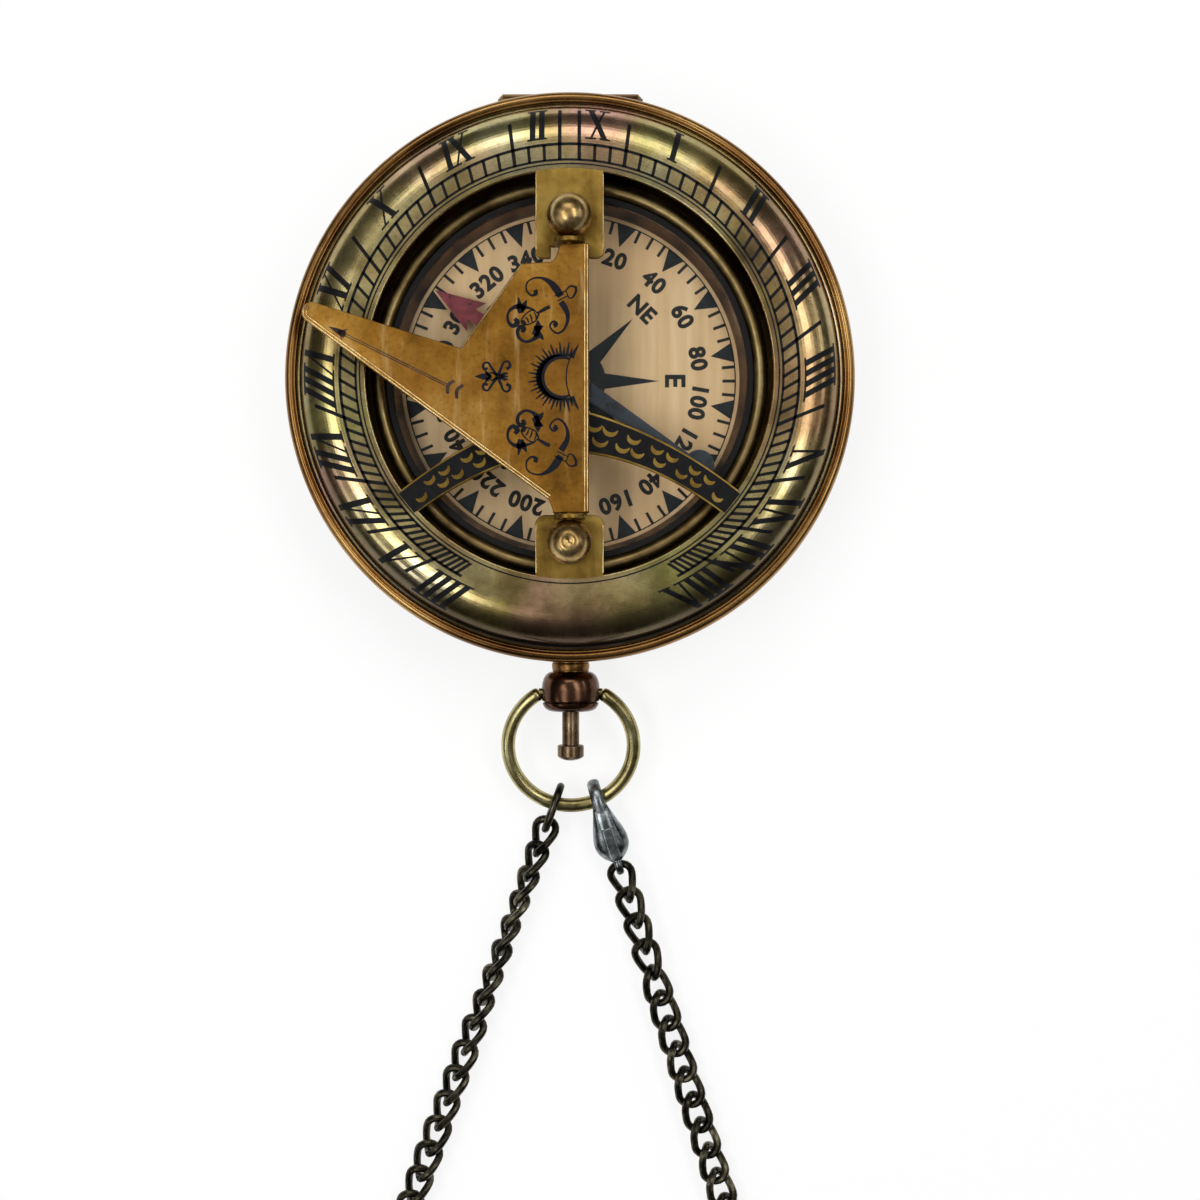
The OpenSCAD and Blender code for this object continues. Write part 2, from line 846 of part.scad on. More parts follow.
module pivot_ball_upper() {
    face = ear_top_y + fit;
    color(brass)
        difference() {
            translate([0, face + ball_d / 2, pivot_z])
                sphere(d = ball_d);
            rod_y(face - 1, face + grip, trunnion_d / 2, pivot_z);
        }
}

module pivot_ball_lower() {
    face = -ear_low_y - fit;
    color(brass)
        difference() {
            translate([0, face - ball_d / 2, pivot_z])
                sphere(d = ball_d);
            rod_y(face - grip, face + 1, trunnion_d / 2, pivot_z);
        }
}

// Bow

bow_reach = bow_offset + bow_r;
bow_pitch = asin((pendant_z - bow_rest_z) / bow_reach);
bow_end_x = pendant_d / 2 + 0.9;
bow_end_angle = asin(bow_end_x / bow_r);

// Place of the bow's wire at offset x, on its far side.
function wire_at(x) =
    let (along = bow_offset + sqrt(bow_r * bow_r - x * x))
    [x, -bow_axis_y - along * cos(bow_pitch), pendant_z - along * sin(bow_pitch)];

module bow() {
    end_y = sqrt(bow_r * bow_r - bow_end_x * bow_end_x) - bow_offset;
    color(dark_brass)
        translate([0, -bow_axis_y, pendant_z])
            rotate([bow_pitch, 0, 0])
                union() {
                    translate([0, -bow_offset, 0])
                        rotate([0, 0, 90 + bow_end_angle])
                            rotate_extrude(angle = 360 - 2 * bow_end_angle)
                                translate([bow_r, 0])
                                    circle(d = bow_wire_d, $fn = 32);
                    for (side = [-1, 1]) {
                        translate([side * bow_end_x, end_y, 0])
                            sphere(d = bow_wire_d + 0.2, $fn = 48);
                        translate([side * (bow_end_x - 0.95), 0, 0])
                            rod_x(1.9, bow_pivot_d / 2);
                    }
                }
}

// Chain

slack = 0.25;
wire_gap = chain_wire_d + slack;
left_dir = [-sin(left_lean), -cos(left_lean)];
right_dir = [sin(right_lean), -cos(right_lean)];
left_wire = wire_at(-left_x);
right_wire = wire_at(right_x);
chain_z = chain_w / 2 + fit;
end_link_l = 2.6;
end_link_slack = 0.65;
clasp_nose_r = 2.1;
clasp_hole_r = 1.45;
clasp_hole_v = 0.1;
clasp_neck_u = clasp_nose_r + 1.2;
clasp_hole_u = clasp_nose_r + 0.35;
clasp_eye_r = 0.75;
clasp_tail_r = 1.25;
clasp_eye_u = clasp_l - clasp_tail_r;
eye_l = clasp_eye_u - clasp_hole_u;
clasp_z = clasp_h / 2 + fit;

// Ends of the two leads: near the bow, and where they reach the table.
left_near = [left_wire[0], left_wire[1]] + end_link_l * left_dir;
left_far = [left_wire[0], left_wire[1]]
    + (lead_y + left_wire[1]) / cos(left_lean) * left_dir;
right_near = [right_wire[0], right_wire[1]] + (eye_l + wire_gap / 2) * right_dir;
right_far = [right_wire[0], right_wire[1]]
    + (lead_y + right_wire[1]) / cos(right_lean) * right_dir;
left_count = 2 * round(norm(left_far - left_near) / chain_pitch / 2);
right_count = 2 * round(norm(right_far - right_near) / chain_pitch / 2);

// Centre of the round loop, which both runs meet as tangents.
left_normal = [cos(left_lean), -sin(left_lean)];
right_normal = [-cos(right_lean), -sin(right_lean)];
loop_det = left_normal[0] * right_normal[1] - left_normal[1] * right_normal[0];
left_c = chain_loop_r + left_far * left_normal;
right_c = chain_loop_r + right_far * right_normal;
loop_centre = [
    (left_c * right_normal[1] - right_c * left_normal[1]) / loop_det,
    (right_c * left_normal[0] - left_c * right_normal[0]) / loop_det
];
left_tangent = loop_centre - chain_loop_r * left_normal;
right_tangent = loop_centre - chain_loop_r * right_normal;
left_run = norm(left_tangent - left_far);
right_run = norm(right_tangent - right_far);
loop_sweep = 180 + left_lean + right_lean;
loop_arc = loop_sweep / 180 * PI * chain_loop_r;
loop_l = left_run + loop_arc + right_run;
loop_count = 2 * round((loop_l / chain_pitch - 1) / 2) + 1;

// Place and heading at distance s along the loop from the left lead's end.
function loop_at(s) =
    s < left_run
        ? concat(left_far + s * left_dir, [atan2(left_dir[1], left_dir[0])])
    : s < left_run + loop_arc
        ? let (a = 180 - left_lean + (s - left_run) / chain_loop_r * 180 / PI)
          concat(loop_centre + chain_loop_r * [cos(a), sin(a)], [a + 90])
    : concat(
        right_tangent - (s - left_run - loop_arc) * right_dir,
        [atan2(-right_dir[1], -right_dir[0])]
    );

// One link along X: two straight sides and two half rings. The sides' length
// is rounded to a hundredth, so that the four pieces meet exactly.
module link(inner_l, inner_w, wire) {
    r = (inner_w + wire) / 2;
    half = round(50 * (inner_l - inner_w)) / 100;
    union() {
        for (side = [0, 1])
            mirror([side, 0, 0])
                translate([half, 0, 0])
                    rotate([0, 0, -90])
                        rotate_extrude(angle = 180, $fn = 32)
                            translate([r, 0])
                                circle(d = wire, $fn = 16);
        for (side = [-1, 1])
            translate([-half, side * r, 0])
                rotate([0, 90, 0])
                    cylinder(h = 2 * half, d = wire, $fn = 16);
    }
}

module chain_link(place, height, heading, roll, step) {
    translate([place[0], place[1], height])
        rotate([0, 0, heading])
            rotate([roll, 0, 0])
                link(step + slack, chain_w - 2 * chain_wire_d, chain_wire_d);
}

// A straight lead of links from near to far, sinking from high to chain_z.
module lead(near, far, high, count) {
    step = norm(far - near) / count;
    heading = atan2(far[1] - near[1], far[0] - near[0]);
    for (i = [0:count - 1])
        let (t = (i + 0.5) / count)
            chain_link(
                near + t * (far - near), high + t * (chain_z - high),
                heading, i % 2 == 0 ? 0 : 90, step
            );
}

module chain_end_link() {
    wide = bow_wire_d + 1;
    back = bow_wire_d / 2 + play + end_link_slack;
    inner_l = end_link_l + back + wire_gap / 2 - chain_wire_d / 2;
    color(gunmetal)
        translate([left_wire[0], left_wire[1], left_wire[2]])
            rotate([0, 0, -90 - left_lean])
                translate([inner_l / 2 - back, 0, 0])
                    rotate([90, 0, 0])
                        link(inner_l, wide, chain_wire_d);
}

module chain_left() {
    color(gunmetal)
        lead(left_near, left_far, left_wire[2], left_count);
}

module chain_right() {
    color(gunmetal)
        lead(right_near, right_far, clasp_z, right_count);
}

module chain_loop() {
    step = loop_l / loop_count;
    color(gunmetal)
        for (i = [0:loop_count - 1])
            let (
                p = loop_at((i + 0.5) * step),
                ramp = min(i, loop_count - 1 - i, 4) / 4
            )
                chain_link([p[0], p[1]], chain_z, p[2], (i % 2 == 0 ? 0 : 90) + 45 * ramp, step);
}

// Lobster clasp, on edge: u runs from its nose to its eye, v is upright.

lever_u = 6.9;
lever_v = -0.35;
slot_t = 1.3;
rivet_r = 0.4;

// Places its children at the bow with X along the clasp and Y upright.
module at_clasp() {
    translate([right_wire[0], right_wire[1], clasp_z])
        rotate([0, 0, -90 + right_lean])
            rotate([90, 0, 0])
                translate([-clasp_hole_u, 0, 0])
                    children();
}

module clasp_side() {
    difference() {
        hull() {
            translate([clasp_nose_r, 0])
                circle(r = clasp_nose_r, $fn = 32);
            translate([clasp_l * 0.54, 0])
                circle(r = clasp_h / 2, $fn = 32);
            translate([clasp_eye_u, 0])
                circle(r = clasp_tail_r, $fn = 32);
        }
        translate([clasp_eye_u, 0])
            circle(r = clasp_eye_r);
        hull() {
            translate([clasp_hole_u, clasp_hole_v])
                circle(r = clasp_hole_r, $fn = 32);
            translate([lever_u - 2.1, 0.35])
                circle(r = 0.95, $fn = 32);
        }
        polygon([[1.7, -0.9], [lever_u - 0.9, -0.6], [lever_u - 0.4, -3], [1.9, -3]]);
    }
}

module clasp_plan() {
    hull() {
        translate([clasp_nose_t / 2, 0])
            circle(d = clasp_nose_t, $fn = 24);
        translate([clasp_neck_u, 0])
            circle(d = clasp_nose_t, $fn = 24);
    }
    hull() {
        translate([clasp_neck_u, 0])
            circle(d = clasp_nose_t, $fn = 24);
        translate([clasp_l * 0.62, 0])
            circle(d = clasp_body_t, $fn = 24);
        translate([clasp_l - 0.7, 0])
            circle(d = 1.4, $fn = 24);
    }
}

module clasp_body() {
    color(steel)
        at_clasp()
            difference() {
                intersection() {
                    linear_extrude(height = clasp_body_t + 1, center = true)
                        clasp_side();
                    rotate([90, 0, 0])
                        linear_extrude(height = clasp_h + 2, center = true)
                            clasp_plan();
                }
                translate([lever_u - 1.9, -clasp_h, -slot_t / 2])
                    cube([4.2, clasp_h + 0.9, slot_t]);
                translate([lever_u, lever_v, 0])
                    cylinder(h = 8, r = rivet_r, center = true);
            }
}

module clasp_rivet() {
    color(steel)
        at_clasp()
            translate([lever_u, lever_v, 0])
                cylinder(h = clasp_body_t - 0.9, r = rivet_r, center = true);
}

module clasp_spring() {
    color(steel)
        at_clasp()
            translate([lever_u + 1.3, 0.2, 0])
                cylinder(h = slot_t, r = 0.4, center = true);
}

module clasp_trigger() {
    lever_t = slot_t - 2 * gap;
    low_v = -clasp_h / 2 + 0.2;
    color(steel)
        at_clasp()
            translate([0, 0, -lever_t / 2])
                difference() {
                    union() {
                        linear_extrude(height = lever_t)
                            polygon([
                                [2.1, low_v + 0.05], [2, low_v + 0.35], [lever_u - 1.9, low_v + 0.4],
                                [lever_u - 0.6, lever_v + 0.3], [lever_u + 0.6, lever_v - 0.4],
                                [lever_u + 0.5, low_v - 0.15], [lever_u - 0.5, low_v - 0.15],
                                [lever_u - 1.1, low_v]
                            ]);
                        translate([lever_u, lever_v, 0])
                            cylinder(h = lever_t, r = 0.8);
                    }
                    translate([lever_u, lever_v, -1])
                        cylinder(h = 4, r = rivet_r + fit);
                }
}

case_back();
case_band();
case_knuckles();
hinge_pin();
bowl_seat();
compass_bowl();
dial_card();
needle_post();
rehaut_ring();
compass_glass();
glass_gasket();
bezel_ring();
pendant_neck();
pendant_ball();
button_spring();
push_pin();
push_head();
spring_posts();
spring_screws();
latch_spring();
lift_spring();
lid_rim();
hour_ring();
lid_knuckle();
lid_catch();
gnomon();
pivot_ball_upper();
pivot_ball_lower();
needle_blade();
needle_cap();
bow();
chain_end_link();
chain_left();
chain_right();
chain_loop();
clasp_body();
clasp_rivet();
clasp_spring();
clasp_trigger();
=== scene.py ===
"""Looks of a pocket sundial compass: aged brass and bronze, a printed dial under
glass, black-filled engraving and a loop of chain. Lengths are in millimetres
until a mesh is made, bearings are in degrees clockwise from the hinge (+Y)."""

import math

import bmesh
import bpy
import numpy as np
from mathutils import Euler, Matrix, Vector


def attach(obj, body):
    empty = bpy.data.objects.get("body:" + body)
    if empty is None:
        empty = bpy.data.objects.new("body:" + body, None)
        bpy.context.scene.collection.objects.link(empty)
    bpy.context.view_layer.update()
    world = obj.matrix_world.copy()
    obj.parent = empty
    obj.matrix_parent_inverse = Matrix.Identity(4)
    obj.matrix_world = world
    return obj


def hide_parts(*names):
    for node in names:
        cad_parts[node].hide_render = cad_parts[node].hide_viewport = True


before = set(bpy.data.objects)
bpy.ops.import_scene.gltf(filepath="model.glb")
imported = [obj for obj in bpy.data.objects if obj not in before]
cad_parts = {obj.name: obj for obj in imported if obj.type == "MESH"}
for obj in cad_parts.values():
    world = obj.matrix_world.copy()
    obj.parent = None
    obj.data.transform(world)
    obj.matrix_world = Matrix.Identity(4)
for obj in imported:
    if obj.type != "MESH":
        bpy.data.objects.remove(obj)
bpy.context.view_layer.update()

MM = 0.001

# Camera straight above the object, in metres, and its lens
CAMERA_PLACE, LENS = (0.00334, -0.0248, 0.2256), 57.89

# Gap round seated pieces, drop of plates below the lip, rise of ink over metal
SEAT_GAP, PLATE_DROP, INK_RISE = 0.05, 0.004, 0.012

# Case and lid
BAND_R, BORE_R, BACK_H, EDGE_R, BACK_T = 31.0, 30.0, 3.6, 3.0, 1.0
RIM_R, LID_Z, RIM_H, BEAD_W, SEAT_Z = 31.75, 9.4, 2.2, 1.35, 10.4
SKIRT_R = 29.6
RING_R, FLAT_R, WINDOW_R, LIP_Z, SHEET_T = 30.35, 25.5, 22.35, 14.4, 0.6
DOME_Z = SEAT_Z + 0.55
DOME_W, DOME_H = 4.5, LIP_Z - DOME_Z
SHEET_Z = LIP_Z - SHEET_T

# Tabs, arms and ears of the hour ring
TAB_W, TAB_TOP_Y, TAB_R = 7.55, 12.6, 1.1
SLOT_HALF, PLATE_ROOT_R = 2.05, WINDOW_R + 0.8
EAR_TOP_Y, EAR_LOW_Y, EAR_T, EAR_W = 14.35, 16.0, 0.5, 3.4
ARM_TOP_Y, ARM_W, ARM_ANGLE, ARM_END, ARM_BORDER = 3.6, 5.0, 34.7, 7.7, 0.26
BALL_D, PIVOT_Z = 4.9, 16.8
GNOMON_T, GNOMON_REACH, GNOMON_TIP_Y, GNOMON_TIP_R, FOOT_W = 1.0, 28.9, 6.3, 1.1, 2.15
STUB_TOP, STUB_LOW, TRUNNION_R = 13.75, -15.4, 0.45

# Compass
BOWL_R, BOWL_OUTER, BOWL_TOP, DIAL_Z, DIAL_T, DIAL_R = 20.2, 21.0, 9.4, 6.8, 0.4, 18.95
GLASS_Z, GLASS_T, BEZEL_R, BEZEL_TOP = 9.6, 0.8, 22.1, 11.3
NEEDLE_R, NEEDLE_Z, NEEDLE_T, NEEDLE_BEARING = 18.2, 8.1, 0.3, 303.5

# Pendant, bow and chain
PENDANT_Z, BOW_AXIS_Y, NECK_END, PENDANT_D, PENDANT_L = 5.6, 35.3, 32.9, 6.6, 4.6
PIN_HEAD_Y, HEAD_D, HEAD_L = 41.3, 3.0, 1.5
BOW_R, BOW_WIRE_D, BOW_OFFSET, BOW_REST_Z = 7.2, 1.6, 6.4, 2.45
BOW_PITCH = math.asin((PENDANT_Z - BOW_REST_Z) / (BOW_OFFSET + BOW_R))
CHAIN_WIRE, CHAIN_W, CHAIN_SLACK, CHAIN_Z = 0.9, 3.55, 0.25, 1.825
LINK_PITCH, LINK_INNER_W, CURB_TWIST = 3.1, CHAIN_W - 2 * CHAIN_WIRE, 45.0
LOOP_R, LEFT_LEAN, RIGHT_LEAN, LEFT_X, RIGHT_X, LEAD_Y = 31.0, 19.8, 17.4, 1.9, 3.1, 68.0
END_LINK_L, END_PLAY, END_SLACK = 2.6, 0.15, 0.65
# Roll of each link of the left and the right lead, in degrees
LEFT_ROLLS, RIGHT_ROLLS = (48, 60, 68, 74, 76, 72), (40, 34, 38, 30)

# Clasp, measured along it from the nose
CLASP_Z, CLASP_EYE_L, CLASP_HOLE_U, CLASP_HOLE_R = 2.25, 7.9, 2.45, 1.4
EYE_U, EYE_R, EYE_WIRE_R, EYE_HOLE_R = 10.35, 0.98, 0.27, 0.7

# Hour scale: rays leave a point below the centre, one for each side of noon
SCALE_Y, SCALE_X = -14.6, 1.07
SCALE_END = 152.0
# Its circle lines as (radius, width, last bearing); heads of ticks by radius
SCALE_LINES = ((22.98, 0.16, 180.0), (23.42, 0.26, SCALE_END), (25.14, 0.32, SCALE_END))
TICK_FOOT, TICK_HEAD, HALF_HOUR_HEAD, NOON_HEAD = 23.4, 25.2, 28.2, 29.85
NUMERAL_HEAD, NUMERAL_MIDDLE, NUMERAL_FOOT = 25.75, 27.5, 29.35


# ---------------------------------------------------------------- camera

def set_camera():
    """Camera that sees the object as the photograph does."""
    camera = bpy.data.objects.new("camera", bpy.data.cameras.new("camera"))
    camera.location = CAMERA_PLACE
    camera.data.sensor_width = 36
    camera.data.lens = LENS
    camera.data.clip_start = 0.01
    bpy.context.scene.collection.objects.link(camera)
    bpy.context.scene.camera = camera


# ---------------------------------------------------------------- meshes

def unit(v):
    """Vectors scaled to length 1."""
    return v / np.maximum(np.linalg.norm(v, axis=-1, keepdims=True), 1e-12)


def grid_faces(nu, nv, wrap_u=False, wrap_v=False):
    """Quads between neighbouring points of an nu by nv grid."""
    i, j = np.meshgrid(
        np.arange(nu if wrap_u else nu - 1),
        np.arange(nv if wrap_v else nv - 1),
        indexing="ij",
    )
    k, m = (i + 1) % nu, (j + 1) % nv
    return np.stack([i * nv + j, k * nv + j, k * nv + m, i * nv + m], -1).reshape(-1, 4)


def join(parts):
    """One list of points and faces from several."""
    points, faces, start = [], [], 0
    for p, f in parts:
        points.append(p)
        faces.append([tuple(row) for row in (np.asarray(f) + start).tolist()])
        start += len(p)
    return np.concatenate(points), [f for group in faces for f in group]


def make_mesh(name, points, faces, sharp=35, merge=True):
    """Mesh of points in millimetres, with doubles merged and faces turned out."""
    mesh = bpy.data.meshes.new(name)
    mesh.from_pydata((np.asarray(points) * MM).tolist(), [], [tuple(f) for f in faces])
    if merge:
        bm = bmesh.new()
        bm.from_mesh(mesh)
        bmesh.ops.remove_doubles(bm, verts=bm.verts, dist=2e-7)
        bmesh.ops.recalc_face_normals(bm, faces=bm.faces)
        bm.to_mesh(mesh)
        bm.free()
    mesh.shade_smooth()
    mesh.set_sharp_from_angle(angle=math.radians(sharp))
    return mesh


def piece(name, mesh, body, material, replaces=()):
    """Object of a finished mesh, riding on its body."""
    obj = bpy.data.objects.new(name, mesh)
    bpy.context.scene.collection.objects.link(obj)
    mesh.materials.append(material)
    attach(obj, body)
    if replaces:
        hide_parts(*replaces)
    return obj


def solid(name, part, body, slot, material, replaces=(), **finish):
    """Piece made of a part's points and faces."""
    return piece(name, make_mesh(name, *part, **finish), body, material, replaces)


def soften(profile, radius, steps=5, closed=True):
    """Profile with each corner replaced by a quadratic curve that leaves the
    sides at most radius, or 45% of the side, before the corner."""
    p = np.asarray(profile, float)
    r = np.broadcast_to(np.asarray(radius, float), len(p)).copy()
    if not closed:
        r[[0, -1]] = 0
    back, ahead = np.roll(p, 1, 0) - p, np.roll(p, -1, 0) - p
    near = p + back * np.minimum(r / np.maximum(np.linalg.norm(back, axis=1), 1e-9), 0.45)[:, None]
    far = p + ahead * np.minimum(r / np.maximum(np.linalg.norm(ahead, axis=1), 1e-9), 0.45)[:, None]
    s = np.linspace(0, 1, steps)[None, :, None]
    curve = (1 - s) ** 2 * near[:, None] + 2 * s * (1 - s) * p[:, None] + s**2 * far[:, None]
    return curve.reshape(-1, p.shape[1])


def lathe(profile, turns=240, closed=True):
    """Profile of (radius, height) turned about Z: x = r sin b, y = r cos b."""
    p = np.asarray(profile, float)
    b = np.linspace(0, 2 * math.pi, turns, endpoint=False)[:, None]
    points = np.stack(
        [p[:, 0] * np.sin(b), p[:, 0] * np.cos(b), np.broadcast_to(p[:, 1], (turns, len(p)))], -1
    )
    return points.reshape(-1, 3), grid_faces(turns, len(p), True, closed)


def along_y(part, y, z):
    """A lathed part whose axis points down -Y from the point (0, y, z)."""
    p, f = part
    return np.stack([p[:, 0], y - p[:, 2], z + p[:, 1]], -1), f


def tube(path, across, radius, closed=False, sides=20, flat=1.0):
    """Circle of a radius, or one per point, carried along a path; across gives
    the direction that stays in the section, and flat its squash there."""
    path = np.asarray(path, float)
    radius = np.broadcast_to(np.asarray(radius, float), len(path))
    if closed:
        along = np.roll(path, -1, 0) - np.roll(path, 1, 0)
    else:
        along = np.gradient(path, axis=0)
        path = np.concatenate([path[:1], path, path[-1:]])
        along = np.concatenate([along[:1], along, along[-1:]])
        radius = np.concatenate([[0], radius, [0]])
        across = np.broadcast_to(across, (len(path) - 2, 3))
        across = np.concatenate([across[:1], across, across[-1:]])
    along = unit(along)
    across = np.broadcast_to(across, path.shape)
    second = unit(across - (across * along).sum(1, keepdims=True) * along)
    first = np.cross(second, along)
    a = np.linspace(0, 2 * math.pi, sides, endpoint=False)[None, :, None]
    points = path[:, None] + radius[:, None, None] * (
        np.cos(a) * first[:, None] + flat * np.sin(a) * second[:, None]
    )
    return points.reshape(-1, 3), grid_faces(len(path), sides, closed, True)


def prisms(corners, low, high):
    """Closed prisms over flat polygons given as an (m, k, 2) array."""
    c = np.asarray(corners, float)
    m, k = c.shape[:2]
    z = np.broadcast_to(np.array([low, low, high, high])[None, :, None], (m, 4, k))
    centre = c.mean(1, keepdims=True)
    rings = np.stack([np.broadcast_to(centre, c.shape), c, c, np.broadcast_to(centre, c.shape)], 1)
    points = np.concatenate([rings, z[..., None]], -1).reshape(-1, 3)
    faces = grid_faces(4, k, False, True)
    return points, (faces[None] + 4 * k * np.arange(m)[:, None, None]).reshape(-1, 4)


def inlay(corners, top, depth=0.05, nu=3, nv=14, plan=None):
    """Thin closed inlays over four-cornered patches: a bilinear grid between
    the corners (m, 4, 2), lifted to top(x, y) with its underside depth lower."""
    c = np.asarray(corners, float)
    m = len(c)
    u = np.linspace(0, 1, nu)[None, :, None, None]
    v = np.concatenate([[0], np.linspace(0, 1, nv), [1]])[None, None, :, None]
    c0, c1, c2, c3 = (c[:, i, None, None, :] for i in range(4))
    p = (1 - v) * ((1 - u) * c0 + u * c1) + v * ((1 - u) * c3 + u * c2)
    if plan:
        p = plan(p)
    z = top(p[..., 0], p[..., 1])
    above = z.copy()
    above[:, :, [0, -1]] -= depth
    over = np.concatenate([p, above[..., None]], -1)
    under = np.concatenate([p, (z - depth)[..., None]], -1)[:, ::-1]
    points = np.concatenate([over, under], 1)
    faces = grid_faces(2 * nu, nv + 2, True, False)
    size = 2 * nu * (nv + 2)
    return points.reshape(-1, 3), (faces[None] + size * np.arange(m)[:, None, None]).reshape(-1, 4)


def polar(p):
    """(bearing in degrees, radius) as x and y."""
    a = np.radians(p[..., 0])
    return np.stack([p[..., 1] * np.sin(a), p[..., 1] * np.cos(a)], -1)


def curve_mesh(curve):
    """Points in millimetres and triangles of a filled curve or a text."""
    temp = bpy.data.objects.new("temp", curve)
    bpy.context.scene.collection.objects.link(temp)
    mesh = bpy.data.meshes.new_from_object(
        temp.evaluated_get(bpy.context.evaluated_depsgraph_get())
    )
    mesh.calc_loop_triangles()
    points = np.empty(3 * len(mesh.vertices))
    mesh.vertices.foreach_get("co", points)
    faces = np.empty(3 * len(mesh.loop_triangles), int)
    mesh.loop_triangles.foreach_get("vertices", faces)
    bpy.data.objects.remove(temp)
    bpy.data.meshes.remove(mesh)
    bpy.data.curves.remove(curve)
    return points.reshape(-1, 3), faces.reshape(-1, 3)


def plate(outlines, low, high, bevel=0.1):
    """Flat plate with holes between two heights, its edges rounded by bevel."""
    curve = bpy.data.curves.new("plate", "CURVE")
    curve.dimensions = "2D"
    curve.fill_mode = "BOTH"
    curve.extrude = (high - low) / 2 - bevel
    curve.bevel_depth = bevel
    curve.bevel_resolution = 3
    curve.offset = -bevel
    for outline in outlines:
        p = np.asarray(outline, float)
        spline = curve.splines.new("POLY")
        spline.points.add(len(p) - 1)
        flat = np.concatenate([p, np.zeros((len(p), 1)), np.ones((len(p), 1))], 1)
        spline.points.foreach_set("co", flat.ravel())
        spline.use_cyclic_u = True
    points, faces = curve_mesh(curve)
    return points + [0, 0, (low + high) / 2], faces


def lettering(text, size, bold=0.0, spacing=1.0, thick=0.02):
    """Text centred on the origin, size high, thickened by bold."""
    curve = bpy.data.curves.new("text", "FONT")
    curve.body = text
    curve.size = size
    curve.offset = bold
    curve.extrude = thick / 2
    curve.resolution_u = 4
    curve.space_character = spacing
    points, faces = curve_mesh(curve)
    middle = (points.min(0) + points.max(0)) / 2
    return points - [middle[0], middle[1], 0], faces


def turned(part, bearing, radius, z):
    """A flat part moved out to a bearing and radius, its top facing outwards."""
    p, f = part
    a = math.radians(bearing)
    x, y = p[:, 0], p[:, 1]
    out = np.stack(
        [
            radius * math.sin(a) + x * math.cos(a) + y * math.sin(a),
            radius * math.cos(a) - x * math.sin(a) + y * math.cos(a),
            p[:, 2] + z,
        ],
        -1,
    )
    return out, f


def bend(p, q, r, n=12):
    """Quadratic curve from p to r that leans towards q."""
    t = np.linspace(0, 1, n + 1)[:, None]
    return (1 - t) ** 2 * np.array(p) + 2 * t * (1 - t) * np.array(q) + t**2 * np.array(r)


def arc(centre, radius, start, end, n=12):
    """Points of an arc about a centre, angles in degrees from +X."""
    a = np.radians(np.linspace(start, end, n + 1))
    return np.array(centre) + radius * np.stack([np.cos(a), np.sin(a)], -1)


def smooth_line(points, n=40):
    """Catmull-Rom curve through the points, each span a cubic of its four
    nearest points."""
    p = np.asarray(points, float)
    p = np.concatenate([2 * p[:1] - p[1:2], p, 2 * p[-1:] - p[-2:-1]])
    t = np.linspace(0, len(p) - 3 - 1e-9, n)
    i = t.astype(int)
    t = (t - i)[:, None]
    a, b, c, d = p[i], p[i + 1], p[i + 2], p[i + 3]
    return 0.5 * (
        2 * b + (c - a) * t + (2 * a - 5 * b + 4 * c - d) * t**2 + (3 * b - a - 3 * c + d) * t**3
    )


def stroke(points, widths, n=36):
    """Outline of a pen stroke along a smooth line, whose width runs through
    the given widths from start to end."""
    line = smooth_line(points, n)
    along = unit(np.gradient(line, axis=0))
    side = np.stack([-along[:, 1], along[:, 0]], -1)
    w = np.interp(np.linspace(0, 1, n), np.linspace(0, 1, len(widths)), widths)[:, None] / 2
    return line + side * w, line - side * w


def engraved_strokes(strokes, z, depth=0.04):
    """Closed thin ribbons of pen strokes, lying at height z."""
    parts = []
    for left, right in strokes:
        n = len(left)
        rows = np.stack([left, right, right, left], 1)
        heights = np.broadcast_to(np.array([z, z, z - depth, z - depth])[None, :, None], (n, 4, 1))
        points = np.concatenate([rows, heights], -1)
        points = np.concatenate([points[:1].mean(1, keepdims=True).repeat(4, 1), points,
                                 points[-1:].mean(1, keepdims=True).repeat(4, 1)])
        parts.append((points.reshape(-1, 3), grid_faces(n + 2, 4, False, True)))
    return join(parts)


# ---------------------------------------------------------------- materials

def srgb(red, green, blue):
    """Linear colour of an 8-bit screen colour."""
    c = np.array([red, green, blue]) / 255
    return (*np.where(c <= 0.04045, c / 12.92, ((c + 0.055) / 1.055) ** 2.4).tolist(), 1.0)


